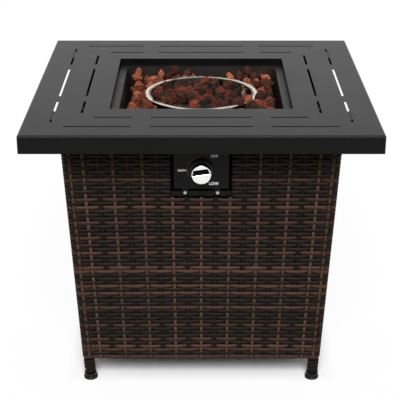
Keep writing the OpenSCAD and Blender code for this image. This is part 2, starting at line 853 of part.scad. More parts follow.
// Wicker: courses of flat strand, one rounded ridge to a course, between the wound legs
wicker_in = 7;
wicker_top = slope(rail_top - 1);
wicker_foot = slope(skirt_z);
courses = round((wicker_top - wicker_foot) / course_h);
course_step = (wicker_top - wicker_foot) / courses;
function ridge(z0) = [
  [course_groove, z0],
  [0, z0 + course_step * 0.25],
  [0, z0 + course_step * 0.75]
];
module wicker_courses(z0, count, half_w) {
  rows = [for (i = [0:count - 1]) each ridge(z0 + i * course_step)];
  top = z0 + count * course_step;
  translate([-half_w, 0, 0]) rotate([90, 0, 90]) linear_extrude(2 * half_w)
    polygon(concat(rows, [[course_groove, top], [wicker_t, top], [wicker_t, z0]]));
}

module side_outline() {
  low = post_at(skirt_z) - wicker_in;
  high = post_at(rail_top) - wicker_in;
  polygon([[-low, wicker_foot], [low, wicker_foot], [high, wicker_top], [-high, wicker_top]]);
}

module wicker_side(k) {
  color(WICKER) difference() {
    on_side(k) intersection() {
      wicker_courses(wicker_foot, courses, base_top_w / 2);
      upright(wicker_t) side_outline();
    }
    for (i = [k, k + 1]) leg_space(i, wrap_r + seat);
    if (k == 0) on_side(k) translate([-cutout_w / 2, -over, cutout_z])
      cube([cutout_w, wicker_t + 2 * over, top_h]);
    if (k == 2) on_side(k) translate([-stile_x - seat, -over, door_z0 - door_gap])
      cube([2 * (stile_x + seat), wicker_t + 2 * over, door_h + 2 * door_gap]);
  }
}

// Control panel
module panel_screw_spots() {
  for (x = [-1, 1]) translate([x * panel_screw_gap / 2, 0, 0]) children();
}

tab_w = 12;
tab_below = 5;
tab_y = bar_y - sheet - slack / 2;
screw_r = 2;
module control_panel() {
  color(BLACK_COAT) on_side(0) difference() {
    union() {
      translate([0, panel_y, 0]) upright(sheet)
        translate([-panel_w / 2, panel_z]) square([panel_w, panel_top - panel_z]);
      for (x = [-panel_w / 2, panel_w / 2 - sheet]) translate([x, panel_y, panel_z])
        cube([sheet, panel_fold, fold_top - panel_z]);
      translate([-panel_w / 2, panel_y, panel_z]) cube([panel_w, panel_fold, sheet]);
      panel_screw_spots() translate([-tab_w / 2, tab_y, screw_z - tab_below])
        cube([tab_w, sheet, panel_z - screw_z + tab_below + sheet]);
    }
    across(0, knob_z, nose_r + slack, -over, panel_back + over);
    panel_screw_spots() across(0, screw_z, screw_r + slack, 0, bar_y);
  }
}

// Two uprights and a bar that the wicker is woven round
frame_lap = 1;
screw_past = 9;
module panel_frame() {
  x = cutout_w / 2 + frame_lap;
  top = slope(top_rail_z) - rail_lean - slack;
  foot = cutout_z - 2 * frame_lap;
  color(BLACK_COAT) on_side(0) difference() {
    union() {
      for (s = [-x - trim_tube, x]) translate([s, bar_y, foot]) cube([trim_tube, trim_tube, top - foot]);
      translate([-x, bar_y, foot]) cube([2 * x, trim_tube, trim_tube]);
    }
    panel_screw_spots() across(0, screw_z, screw_r + slack, 0, bar_y + screw_past + over);
  }
}

screw_head_r = 3.8;
screw_head_h = 2.4;
module panel_screws() {
  color(STEEL) on_side(0) panel_screw_spots() {
    across(0, screw_z, screw_r, tab_y - screw_head_h / 2, bar_y + screw_past);
    across(0, screw_z, screw_head_r, tab_y - screw_head_h, tab_y);
  }
}

// Gas valve, plug and spindle, all on the knob's axis
boss_wall = 3;
inlet_wall = 2;
inlet_hex_h = 6;
inlet_y = outlet_y - inlet_r - boss_wall;
module valve_body() {
  color("#8f8f8c") on_side(0) difference() {
    union() {
      across(0, knob_z, nose_r, nose_front, valve_y);
      across(0, knob_z, nut_r, panel_back, valve_y);
      translate([-valve_w / 2, valve_y, knob_z - valve_h / 2]) cube([valve_w, valve_len, valve_h]);
      across(0, knob_z, pipe_r + boss_wall, outlet_y, outlet_y + outlet_len);
    }
    across(0, knob_z, pipe_r + run_gap, outlet_y + pipe_in / 2, outlet_y + outlet_len + over);
    across(0, knob_z, stem_r + run_gap, nose_front - over, chamber_y + over);
    across(0, knob_z, plug_r + run_gap, chamber_y, chamber_y + plug_len + 2 * slack);
    translate([0, inlet_y, knob_z - valve_h / 2 - over])
      cylinder(r = inlet_r - inlet_wall, h = valve_h / 2 - plug_r - inlet_wall);
  }
}

module valve_nut() {
  color(STEEL) on_side(0) difference() {
    translate([0, panel_y - nut_t, knob_z]) rotate([-90, 0, 0]) cylinder(r = nut_r, h = nut_t, $fn = 6);
    across(0, knob_z, nose_r + run_gap, panel_y - nut_t - over, panel_y + over);
  }
}

module gas_inlet() {
  tail_r = inlet_r - inlet_wall - run_gap;
  color(BRASS) on_side(0) translate([0, inlet_y, knob_z - valve_h / 2]) difference() {
    union() {
      translate([0, 0, -inlet_hex_h]) cylinder(r = inlet_r + boss_wall, h = inlet_hex_h, $fn = 6);
      translate([0, 0, -inlet_hex_h - inlet_len]) cylinder(r = inlet_r, h = inlet_len);
      translate([0, 0, -inlet_hex_h]) cylinder(r = tail_r, h = 2 * inlet_hex_h);
    }
    translate([0, 0, -inlet_hex_h - inlet_len - over])
      cylinder(r = tail_r - inlet_wall, h = inlet_len + 2 * inlet_hex_h + 2 * over);
  }
}

module valve_plug() {
  color(BRASS) on_side(0) difference() {
    across(0, knob_z, plug_r, chamber_y + slack, chamber_y + slack + plug_len);
    across(0, knob_z, stem_r + run_gap, chamber_y, spindle_end + spring_len + slack);
  }
}

// The return spring: one wire wound between the spindle's end and the plug
spring_turns = 5;
spring_wire = 0.5;
spring_r = stem_r - spring_wire - 2 * slack;
spring_steps = 8;
module return_spring() {
  rings = spring_turns * spring_steps;
  start = spindle_end + spring_wire + slack / 2;
  rise = spring_len - 2 * spring_wire - slack;
  route = [
    for (i = [0:rings])
      let (a = 360 * i / spring_steps)
      [spring_r * cos(a), start + rise * i / rings, knob_z + spring_r * sin(a)]
  ];
  color(STEEL) on_side(0) swept(route, spring_wire, 6, [0, 1, 0]);
}

knob_cap = 4;
module valve_spindle() {
  color(STEEL) on_side(0) across(0, knob_z, stem_r, knob_front + knob_cap, spindle_end);
}

module knob_body() {
  color(PLASTIC) on_side(0) translate([0, 0, knob_z]) rotate([90, 0, 0]) rotate_extrude() polygon([
    [stem_r + run_gap, -cup_floor],
    [knob_skirt_r - 3, -cup_floor],
    [knob_skirt_r - 2, -skirt_rear],
    [knob_skirt_r, -skirt_rear],
    [knob_skirt_r, -skirt_rear + 3],
    [knob_r, -skirt_rear + 6],
    [knob_r, -knob_front],
    [stem_r + run_gap, -knob_front]
  ]);
}

module knob_face() {
  plate_t = 2;
  grip_arc_r = 1.4 * knob_r;
  color(CHROME) on_side(0) translate([0, knob_front, knob_z]) rotate([90, 0, 0]) {
    rotate_extrude() polygon([
      [0, 0],
      [knob_r, 0],
      [knob_r, plate_t - 0.8],
      [knob_r - 0.8, plate_t],
      [0, plate_t]
    ]);
    rotate([0, 0, grip_turn]) translate([0, 0, plate_t / 2]) intersection() {
      translate([-knob_r, -grip_w / 2, 0]) cube([2 * knob_r, grip_w, 2 * grip_h]);
      rotate([90, 0, 0]) translate([0, plate_t / 2 + grip_h - grip_arc_r, 0])
        cylinder(r = grip_arc_r, h = grip_w + 2 * over, center = true);
      cylinder(r = knob_r - 1.5, h = 2 * grip_h);
    }
  }
}

// Door for the gas cylinder, in the back of the base
module door_stiles() {
  foot = slope(low_rail_top);
  height = slope(top_rail_z) - rail_lean - slack - foot;
  color(BLACK_COAT) on_side(2) for (x = [-stile_x - rail_w, stile_x]) translate([x, door_y, foot])
    difference() {
      cube([rail_w, rail_w, height]);
      translate([tube_wall, tube_wall, -over])
        cube([rail_w - 2 * tube_wall, rail_w - 2 * tube_wall, height + 2 * over]);
    }
}

module door_outline(inset) {
  translate([-door_w / 2 + inset, door_z0 + inset]) square([door_w - 2 * inset, door_h - 2 * inset]);
}

// Angle iron round the door, with the steel strike for the magnet welded to its edge
strike_t = 1.2;
catch_len = 44;
catch_t = 12;
catch_lap = 14;
module door_frame() {
  color(BLACK_COAT) on_side(2) translate([0, door_y, 0]) {
    upright(angle_t) difference() {
      door_outline(0);
      door_outline(rail_w);
    }
    upright(rail_w) difference() {
      door_outline(0);
      door_outline(angle_t);
    }
    translate([-door_w / 2, rail_w, catch_z - catch_len / 2]) cube([rail_w, strike_t, catch_len]);
  }
}

module door_wicker() {
  color(WICKER) on_side(2) difference() {
    intersection() {
      wicker_courses(wicker_foot, courses, door_w / 2 - seat);
      upright(wicker_t) door_outline(seat);
    }
    for (z = [-1, 1]) across(pull_x, pull_z + z * pull_len / 2, pull_r + slack, -over, wicker_t + over);
  }
}

// One hinge: fixed knuckles above and below, the door's knuckle between them
knuckle_mid = hinge_len * 0.4;
knuckle_gap = 0.4;
leaf_short = 2;
pin_head = 1;
knuckle_end = (hinge_len - knuckle_mid) / 2 - knuckle_gap;
module knuckle(z0, len, x0) {
  difference() {
    union() {
      translate([hinge_x, -hinge_out, z0]) cylinder(r = knuckle_r, h = len);
      translate([x0, -hinge_out, z0]) cube([leaf_t, hinge_out + leaf_t, len]);
    }
    translate([hinge_x, -hinge_out, z0 - over]) cylinder(r = pin_r + run_gap, h = len + 2 * over);
  }
}

module hinge_leaves_fixed() {
  x0 = stile_x - leaf_t;
  color(STEEL) on_side(2) for (z = hinge_zs) {
    translate([x0, leaf_t / 2, z - hinge_len / 2]) cube([leaf_t, door_y + rail_w - leaf_short, hinge_len]);
    knuckle(z - hinge_len / 2, knuckle_end, x0);
    knuckle(z + hinge_len / 2 - knuckle_end, knuckle_end, x0);
  }
}

module hinge_leaves_door() {
  x0 = door_w / 2;
  color(STEEL) on_side(2) for (z = hinge_zs) {
    translate([x0, leaf_t / 2, z - hinge_len / 2]) cube([leaf_t, door_y + rail_w - leaf_short, hinge_len]);
    knuckle(z - knuckle_mid / 2, knuckle_mid, x0);
  }
}

module hinge_pins() {
  color(STEEL) on_side(2) for (z = hinge_zs) translate([hinge_x, -hinge_out, z - hinge_len / 2]) {
    cylinder(r = pin_r, h = hinge_len);
    translate([0, 0, hinge_len]) cylinder(r = pin_r + pin_head, h = pin_r);
  }
}

// A bow of round bar with bent corners, bolted through the wicker to the door frame
pull_bend = 10;
module door_pull() {
  run = pull_len - 2 * pull_bend;
  color(BLACK_COAT) on_side(2) translate([pull_x, 0, pull_z]) for (s = [0, 1]) mirror([0, 0, s]) {
    across(0, pull_len / 2, pull_r, -pull_out + pull_bend, door_y);
    translate([0, -pull_out, 0]) cylinder(r = pull_r, h = run / 2);
    translate([0, -pull_out + pull_bend, run / 2]) rotate([90, 0, -90]) rotate_extrude(angle = 90)
      translate([pull_bend, 0]) circle(pull_r);
  }
}

// A magnet on the latch stile, over the strike
module door_catch() {
  y = door_y + rail_w;
  color(PLASTIC) on_side(2) {
    translate([-stile_x - rail_w, y, catch_z - catch_len / 2]) cube([rail_w, catch_t, catch_len]);
    translate([-stile_x, y + strike_t + seat, catch_z - catch_len / 2])
      cube([door_gap + catch_lap, catch_t - strike_t - seat, catch_len]);
  }
}

tabletop();
corner_braces();
top_bolts();
fire_pan();
burner_dish();
flame_plate();
burner_stub();
stub_nut();
mixer_tube();
gas_jet();
feed_pipe();
pilot_bracket();
flame_sensor();
spark_electrode();
ignition_lead();
rocks_inner();
rocks_outer();
control_panel();
panel_frame();
panel_screws();
valve_body();
valve_nut();
gas_inlet();
valve_plug();
return_spring();
valve_spindle();
knob_body();
knob_face();
door_stiles();
door_frame();
door_wicker();
hinge_leaves_fixed();
hinge_leaves_door();
hinge_pins();
door_pull();
door_catch();
for (k = [0:3]) rail(k, top_rail_z);
for (k = [0:3]) rail(k, low_rail_z);
for (k = [0:3]) wicker_side(k);
for (i = [0:3]) leg(i);
for (i = [0:3]) leg_wrap(i);
for (i = [0:3]) foot(i);
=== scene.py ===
"""Looks of the gas fire pit table: finishes, woven base, lava rocks and dial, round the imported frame."""

import json
import math
import random

import bmesh
import bpy
import numpy as np
from mathutils import Euler, Matrix, Vector, noise


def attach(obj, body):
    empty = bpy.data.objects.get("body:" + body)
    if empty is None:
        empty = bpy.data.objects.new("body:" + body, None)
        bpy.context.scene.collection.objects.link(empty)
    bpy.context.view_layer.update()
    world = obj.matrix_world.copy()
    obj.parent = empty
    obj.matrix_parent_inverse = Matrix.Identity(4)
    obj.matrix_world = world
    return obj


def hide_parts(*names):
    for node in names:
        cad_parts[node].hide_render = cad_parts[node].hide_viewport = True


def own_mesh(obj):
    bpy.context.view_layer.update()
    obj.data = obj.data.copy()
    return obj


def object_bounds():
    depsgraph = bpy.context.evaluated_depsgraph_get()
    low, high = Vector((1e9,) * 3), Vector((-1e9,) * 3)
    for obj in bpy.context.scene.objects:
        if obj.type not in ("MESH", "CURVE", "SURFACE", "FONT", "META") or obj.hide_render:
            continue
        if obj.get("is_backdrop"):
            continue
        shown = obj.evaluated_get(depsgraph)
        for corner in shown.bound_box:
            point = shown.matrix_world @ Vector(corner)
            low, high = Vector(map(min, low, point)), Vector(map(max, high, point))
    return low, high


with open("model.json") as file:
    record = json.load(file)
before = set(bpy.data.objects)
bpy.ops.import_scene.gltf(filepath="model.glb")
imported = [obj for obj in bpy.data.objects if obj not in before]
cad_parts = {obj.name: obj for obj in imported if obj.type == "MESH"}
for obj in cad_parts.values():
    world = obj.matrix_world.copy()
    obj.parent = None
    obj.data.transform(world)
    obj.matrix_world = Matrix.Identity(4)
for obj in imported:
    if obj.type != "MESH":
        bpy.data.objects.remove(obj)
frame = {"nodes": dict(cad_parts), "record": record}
cad_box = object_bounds()
nodes = frame["nodes"]
scene = bpy.context.scene
scene.view_settings.view_transform = "Standard"

# Sizes that the woven base, the rocks and the dial share with the frame, in metres
MM = 0.001
SKIRT_Z, SKIRT_HALF, TAPER = 0.053, 0.2575, 0.05
WEAVE_TOP = 0.5775
COURSES, STAKES = 60, 17
WRAP_R, LEG_R = 0.0125, 0.010
LEAN = math.atan(TAPER)
SPLAY = math.atan(TAPER * math.sqrt(2))
CUTOUT_HALF, CUTOUT_Z = 0.062, 0.441
DOOR_LOW, DOOR_HIGH, DOOR_HALF, DOORWAY_HALF = 0.092, 0.532, 0.1797, 0.1833
DOOR_GAP = 0.003
KNOB_Z = 0.500


def half_at(z):
    """Half width of the base, outside the wicker, at a height."""
    return SKIRT_HALF + TAPER * (z - SKIRT_Z)


def side_matrix(side):
    """Turns the front side's frame to another side: 0 front, 1 right, 2 back, 3 left."""
    return Matrix.Rotation(math.radians(90 * side), 4, "Z")


def on_front(x, depth, height):
    """Frame of the leaning front face: x across, depth inwards, height up the slope."""
    place = Matrix.Translation((0, -half_at(0), 0)) @ Matrix.Rotation(LEAN, 4, "X")
    return place @ Matrix.Translation((x, depth, height))


# Stands what was made flat against the front face: its y points up the slope and its z out of it
STAND = Matrix.Rotation(math.radians(90), 4, "X")


def take_mesh(bm, name):
    """The finished bmesh as a new mesh."""
    mesh = bpy.data.meshes.new(name)
    bm.to_mesh(mesh)
    bm.free()
    return mesh


# Materials

def linear(code):
    """An sRGB hex colour as linear red, green and blue, with full alpha."""
    parts = [int(code[i:i + 2], 16) / 255 for i in (1, 3, 5)]
    return [c / 12.92 if c <= 0.04045 else ((c + 0.055) / 1.055) ** 2.4 for c in parts] + [1.0]


def feed(tree, node, inputs):
    """Sets a node's inputs to values, or links them to the sockets given."""
    for key, value in inputs.items():
        if isinstance(value, bpy.types.NodeSocket):
            tree.links.new(value, node.inputs[key])
        else:
            node.inputs[key].default_value = value


def add(tree, kind, inputs=None, stops=(), **settings):
    """Adds a shader node with its settings, its inputs and, for a colour ramp, its (place, hex) stops."""
    node = tree.nodes.new("ShaderNode" + kind)
    for key, value in settings.items():
        setattr(node, key, value)
    feed(tree, node, inputs or {})
    if stops:
        elements = node.color_ramp.elements
        while len(elements) < len(stops):
            elements.new(0.5)
        for element, (place, code) in zip(elements, stops):
            element.position, element.color = place, linear(code)
    return node


def material(name):
    """A new material with its node tree, its shader and its object coordinates."""
    made = bpy.data.materials.new(name)
    made.use_nodes = True
    tree = made.node_tree
    shader = tree.nodes["Principled BSDF"]
    place = add(tree, "TexCoord").outputs["Object"]
    return made, tree, shader, place


def powder_coat():
    """Matte black powder coat on steel: baked grit gives a soft sheen that brightens at low angles."""
    made, tree, shader, place = material("black powder-coated steel")
    grit = add(tree, "TexNoise", {"Vector": place, "Scale": 1 / (0.9 * MM), "Detail": 2.0})
    cloud = add(tree, "TexNoise", {"Vector": place, "Scale": 1 / (70 * MM), "Detail": 3.0})
    black = add(tree, "ValToRGB", {"Fac": cloud.outputs["Fac"]},
                [(0.3, "#0b0b0a"), (0.7, "#0f0f0e")])
    rough = add(tree, "MapRange", {"Value": cloud.outputs["Fac"], "To Min": 0.28, "To Max": 0.36})
    bump = add(tree, "Bump", {
        "Height": grit.outputs["Fac"], "Strength": 0.35, "Distance": 0.12 * MM})
    feed(tree, shader, {
        "Base Color": black.outputs["Color"], "Roughness": rough.outputs["Result"], "IOR": 1.21,
        "Normal": bump.outputs["Normal"]})
    return made


def pan_enamel():
    """Heat-proof black enamel, its brown patches partly baked in by the heat and partly a painted warm
    reflection of the rocks and flames.
    """
    made, tree, shader, place = material("heat-proof black enamel")
    enamel_patches = add(tree, "TexNoise", {"Vector": place, "Scale": 1 / (45 * MM), "Detail": 4.0})
    # brown patches: heat browning, and a painted reflection of the rocks' and flames' glow
    baked_and_glow_brown = add(tree, "ValToRGB", {"Fac": enamel_patches.outputs["Fac"]},
                [(0.3, "#100e0d"), (0.7, "#1f1612")])
    rough = add(tree, "MapRange", {"Value": enamel_patches.outputs["Fac"], "To Min": 0.32, "To Max": 0.55})
    feed(tree, shader, {
        "Base Color": baked_and_glow_brown.outputs["Color"], "Roughness": rough.outputs["Result"], "IOR": 1.3})
    return made


def burner_steel():
    """Stainless steel with lathe rings: bright on the rim, straw and cream partly from the heat and partly
    painted flame light, darker towards the middle.
    """
    made, tree, shader, place = material("heat-tinted stainless steel")
    tint = add(tree, "TexNoise", {"Vector": place, "Scale": 1 / (38 * MM), "Detail": 3.0})
    flat = add(tree, "VectorMath", {0: place, 1: (1.0, 1.0, 0.0)}, operation="MULTIPLY")
    radius = add(tree, "VectorMath", {0: flat.outputs["Vector"]}, operation="LENGTH")
    rings = add(tree, "TexNoise", {"W": radius.outputs["Value"], "Scale": 1 / (0.7 * MM)},
                noise_dimensions="1D")
    bump = add(tree, "Bump", {
        "Height": rings.outputs["Fac"], "Strength": 0.25, "Distance": 0.05 * MM})
    edge = add(tree, "Math", {0: tint.outputs["Fac"], 1: 14 * MM, 2: radius.outputs["Value"]},
               operation="MULTIPLY_ADD")
    # darker inside a wavering line near the rim
    inward_fade = add(tree, "MapRange", {
        "Value": edge.outputs["Value"], "From Min": 121 * MM, "From Max": 124.5 * MM,
        "To Min": 0.1, "To Max": 1.0})
    # straw and cream tones: heat tint, and painted light from the flames
    steel = add(tree, "ValToRGB", {"Fac": tint.outputs["Fac"]},
                [(0.3, "#ebe7df"), (0.55, "#dfd5c4"), (0.8, "#c0a27f")])
    darker_inward = add(tree, "VectorMath", {0: steel.outputs["Color"], "Scale": inward_fade.outputs["Result"]},
                operation="SCALE")
    feed(tree, shader, {
        "Base Color": darker_inward.outputs["Vector"], "Metallic": 1.0, "Roughness": 0.3,
        "Normal": bump.outputs["Normal"]})
    return made


def perforated_plate():
    """Steel sheet punched with close rows of small holes and browned by the heat."""
    made, tree, shader, place = material("heat-browned perforated steel")
    drift = add(tree, "TexNoise", {"Vector": place, "Scale": 1 / (14 * MM), "Detail": 3.0})
    tone = add(tree, "ValToRGB", {"Fac": drift.outputs["Fac"]},
               [(0.35, "#6b5548"), (0.65, "#a58d7b")])
    punch = add(tree, "TexVoronoi", {"Vector": place, "Scale": 1 / (7.5 * MM), "Randomness": 0.0},
                voronoi_dimensions="2D", feature="F1")
    sheet = add(tree, "MapRange", {
        "Value": punch.outputs["Distance"], "From Min": 0.24, "From Max": 0.3, "To Min": 0.03, "To Max": 1.0})
    colour = add(tree, "VectorMath", {0: tone.outputs["Color"], "Scale": sheet.outputs["Result"]},
                 operation="SCALE")
    feed(tree, shader, {"Base Color": colour.outputs["Vector"], "Metallic": 1.0, "Roughness": 0.5})
    return made


def plain_metal(name, low, high, rough, grain):
    """A bare or plated metal whose tone drifts a little over patches of the given size."""
    made, tree, shader, place = material(name)
    drift = add(tree, "TexNoise", {"Vector": place, "Scale": 1 / grain, "Detail": 3.0})
    tone = add(tree, "ValToRGB", {"Fac": drift.outputs["Fac"]}, [(0.35, low), (0.65, high)])
    rescaled = add(tree, "MapRange", {
        "Value": drift.outputs["Fac"], "To Min": rough * 0.8, "To Max": rough * 1.25})
    feed(tree, shader, {
        "Base Color": tone.outputs["Color"], "Metallic": 1.0, "Roughness": rescaled.outputs["Result"]})
    return made


def moulded(name, low, high, rough, grain, depth, ior):
    """A moulded or fired surface with a fine grain pressed into it."""
    made, tree, shader, place = material(name)
    skin = add(tree, "TexNoise", {"Vector": place, "Scale": 1 / grain, "Detail": 2.0})
    tone = add(tree, "ValToRGB", {"Fac": skin.outputs["Fac"]}, [(0.3, low), (0.7, high)])
    bump = add(tree, "Bump", {"Height": skin.outputs["Fac"], "Strength": 0.3, "Distance": depth})
    feed(tree, shader, {
        "Base Color": tone.outputs["Color"], "Roughness": rough, "IOR": ior,
        "Normal": bump.outputs["Normal"]})
    return made


def resin_wicker():
    """Extruded resin strand: fine grooves along it, streaked black or brown, with a waxy sheen and painted
    shade along its thin edges.
    """
    made, tree, shader, place = material("resin wicker strand")
    strand = add(tree, "Attribute", attribute_name="strand").outputs["Vector"]
    part = add(tree, "SeparateXYZ", {"Vector": strand})
    across, tone = part.outputs["Y"], part.outputs["Z"]
    # fine grooves: 25 to the metre along the strand and 9 across it, with others for each tone
    laid = add(tree, "VectorMath", {0: strand, 1: (25.0, 9.0, 90.0)}, operation="MULTIPLY")
    groove = add(tree, "TexNoise", {"Vector": laid.outputs["Vector"], "Scale": 1.0, "Detail": 2.0})
    # streaks of colour: 26 to the metre, so some 40 mm long, and two or three across
    drawn = add(tree, "VectorMath", {0: strand, 1: (26.0, 2.5, 70.0)}, operation="MULTIPLY")
    streak = add(tree, "TexNoise", {"Vector": drawn.outputs["Vector"], "Scale": 1.0, "Detail": 3.0})
    shade = add(tree, "Math", {0: streak.outputs["Fac"], 1: 0.30, 2: tone},
                operation="MULTIPLY_ADD")
    brown = add(tree, "ValToRGB", {"Fac": shade.outputs["Value"]},
                [(0.05, "#15100d"), (0.35, "#1f1713"), (0.6, "#3e2a22"), (0.95, "#5f4437")])
    # painted shade: the thin edges are darkened almost to black, standing in for the shadow in the gaps
    # between two strands
    off_middle = add(tree, "Math", {0: across, 1: 0.5}, operation="SUBTRACT")
    off_middle = add(tree, "Math", {0: off_middle.outputs["Value"]}, operation="ABSOLUTE")
    painted_edge_shade = add(tree, "MapRange", {
        "Value": off_middle.outputs["Value"], "From Min": 0.31, "From Max": 0.42,
        "To Min": 1.0, "To Max": 0.05})
    # the strand's colour with the painted shade on its edges
    rescaled = add(tree, "VectorMath", {0: brown.outputs["Color"], "Scale": painted_edge_shade.outputs["Result"]},
               operation="SCALE")
    rough = add(tree, "MapRange", {"Value": groove.outputs["Fac"], "To Min": 0.36, "To Max": 0.56})
    bump = add(tree, "Bump", {
        "Height": groove.outputs["Fac"], "Strength": 0.5, "Distance": 0.3 * MM})
    feed(tree, shader, {
        "Base Color": rescaled.outputs["Vector"], "Roughness": rough.outputs["Result"], "IOR": 1.17,
        "Normal": bump.outputs["Normal"]})
    return made


def lava_rock():
    """Porous volcanic rock: red-brown, bubbled, with painted shade in its pits and pores and painted light on
    its lumps, sooty over the burner.
    """
    made, tree, shader, place = material("porous lava rock")
    stone = add(tree, "Attribute", attribute_name="stone").outputs["Vector"]
    part = add(tree, "SeparateXYZ", {"Vector": stone})
    own_hue, own_light, pit_shade = part.outputs["X"], part.outputs["Y"], part.outputs["Z"]
    grain = add(tree, "TexNoise", {"Vector": place, "Scale": 1 / (6 * MM), "Detail": 4.0})
    bubble = add(tree, "TexVoronoi", {"Vector": place, "Scale": 1 / (3.4 * MM)}, feature="F1")
    fine = add(tree, "TexVoronoi", {"Vector": place, "Scale": 1 / (1.5 * MM)}, feature="F1")
    hue = add(tree, "Math", {0: grain.outputs["Fac"], 1: 0.5, 2: own_hue}, operation="MULTIPLY_ADD")
    rust = add(tree, "ValToRGB", {"Fac": hue.outputs["Value"]},
               [(0.15, "#2a1f1c"), (0.45, "#5c3022"), (0.75, "#904630"), (0.97, "#bb6c4d")])
    # painted shade in the bubble pores
    painted_pore_shade = add(tree, "MapRange", {
        "Value": bubble.outputs["Distance"], "From Min": 0.1, "From Max": 0.5,
        "To Min": 0.12, "To Max": 1.15})
    # painted shade in the stone's pits and painted light on its lumps
    painted_shade_factor = add(tree, "MapRange", {"Value": pit_shade, "To Min": 1.2, "To Max": 0.1})
    tone_and_painted_shade = add(tree, "Math", {0: painted_pore_shade.outputs["Result"], 1: own_light}, operation="MULTIPLY")
    tone_and_painted_shade = add(tree, "Math", {0: tone_and_painted_shade.outputs["Value"], 1: painted_shade_factor.outputs["Result"]},
              operation="MULTIPLY")
    colour = add(tree, "VectorMath", {0: rust.outputs["Color"], "Scale": tone_and_painted_shade.outputs["Value"]},
                 operation="SCALE")
    height = add(tree, "Math", {
        0: fine.outputs["Distance"], 1: 0.35, 2: bubble.outputs["Distance"]}, operation="MULTIPLY_ADD")
    bump = add(tree, "Bump", {
        "Height": height.outputs["Value"], "Strength": 1.0, "Distance": 2.4 * MM})
    feed(tree, shader, {
        "Base Color": colour.outputs["Vector"], "Roughness": 0.92, "Specular IOR Level": 0.25,
        "Normal": bump.outputs["Normal"]})
    return made


FINISH = {
    "black_coat": powder_coat(),
    "pan_enamel": pan_enamel(),
    "stainless": burner_steel(),
    "zinc_steel": plain_metal("zinc-plated steel", "#a9aaab", "#c9c9c6", 0.34, 9 * MM),
    "brass": plain_metal("machined brass", "#a8843f", "#c7a45c", 0.28, 12 * MM),
    "ceramic": moulded("fired ceramic, smoked by the pilot", "#5d554b", "#a79f92", 0.45,
                       5 * MM, 0.05 * MM, 1.5),
    "lead_insulation": moulded("silicone sleeve", "#141414", "#1b1b1b", 0.6, 0.8 * MM, 0.05 * MM, 1.4),
    "lava_rock": lava_rock(),
    "valve_casting": plain_metal("die-cast aluminium", "#8b8c8b", "#a9aaa8", 0.5, 5 * MM),
    "black_plastic": moulded("black moulded plastic", "#070707", "#0b0b0b", 0.4, 0.9 * MM, 0.03 * MM, 1.3),
    "chrome": plain_metal("bright chrome plate", "#ececeb", "#f6f6f4", 0.07, 20 * MM),
    "wicker": resin_wicker(),
}
# Pieces that the heat or a darker plating sets apart from the rest of their metal
OWN_FINISH = {
    "flame_plate": perforated_plate(),
    "pilot_bracket": plain_metal("heat-blackened steel", "#1b1815", "#3d352d", 0.5, 6 * MM),
}
# black plating on the top bolts and hinges, which also stands in for the shade they sit in, in the top's
# slots and the door's gap
BLACK_PLATING_AND_SHADE = plain_metal("black-passivated steel", "#161617", "#262627", 0.5, 6 * MM)
for name in ("top_bolts", "hinge_leaves_fixed", "hinge_leaves_door", "hinge_pins"):
    OWN_FINISH[name] = BLACK_PLATING_AND_SHADE
for entry in frame["record"]["subparts"]:
    name = entry["node"]
    slots = nodes[name].data.materials
    slots.clear()
    slots.append(OWN_FINISH.get(name, FINISH[entry["material_slot"]]))


def piece(name, mesh, slot, body, *replaced):
    """Links a finished mesh as a piece that rides on a body."""
    made = bpy.data.objects.new(name, mesh)
    scene.collection.objects.link(made)
    if not mesh.materials:
        mesh.materials.append(FINISH[slot])
    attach(made, body)
    if replaced:
        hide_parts(*replaced)
    return made


# Woven base

# Strand, from its flat back round over thin edges and a domed middle: how far across and how far out,
# as shares of half its width and half its thickness
SECTION = np.array([
    (0, -1), (1, -1), (0.71, -0.6), (0.55, 0.45), (0, 1), (-0.55, 0.45), (-0.71, -0.6), (-1, -1)])
ROUND = len(SECTION)
STRAND_W, STRAND_T = 10.3 * MM, 2.4 * MM
STAKE_W, STAKE_T = 9.2 * MM, 2.0 * MM
MID_DEPTH, STRAND_SWING, STAKE_SWING = 3.0 * MM, 1.4 * MM, 0.9 * MM
CORNER_OVER, CORNER_UNDER, CORNER_T = 12.5 * MM, 11.7 * MM, 1.4 * MM
TURN_R = 3.0 * MM
LEG_STAKE_IN, LEG_STAKE_DEPTH, LEG_STAKE_SWING, LEG_STAKE_T = 3 * MM, 0.5 * MM, 0.4 * MM, 1.2 * MM
# How a course narrows where it passes under a stake, how far it sags and wavers, and the waves of that
# along it, with the sag's shift from course to course, in radians to a metre
PINCH, SAG, WAVER = 0.03, 0.6 * MM, 0.1 * MM
SAG_WAVE, SAG_SHIFT, WAVER_LONG, WAVER_SHORT = 17, 9, 23, 61
# Tones from black to brown, after how many courses the next brown one comes, and the courses' widths
BROWN_COURSE, BLACK_COURSES = (0.42, 0.62), ((0.0, 0.12), (0.04, 0.22))
BROWN_STAKE, BLACK_STAKE = (0.62, 0.8), (0.05, 0.2)
BROWN_AFTER, COURSE_WIDTHS = [1, 2, 3, 4, 4, 4, 5], (0.97, 1.02)
PER_STAKE, PER_TURN = 6, 20
COURSE_H = (WEAVE_TOP - SKIRT_Z) / COURSES
SPACES = STAKES + 1
# Winding of a leg, and how far out it lies, in mm, below the wicker and behind it
WIND_LOW, WIND_HIGH, WIND_PITCH = 14.4 * MM, 575 * MM, 8.3 * MM
WIND_W, WIND_T, WIND_TONE = 8.4 * MM, 1.1 * MM, 0.2
WIND_BARE, WIND_HIDDEN = 1.75, 0.6

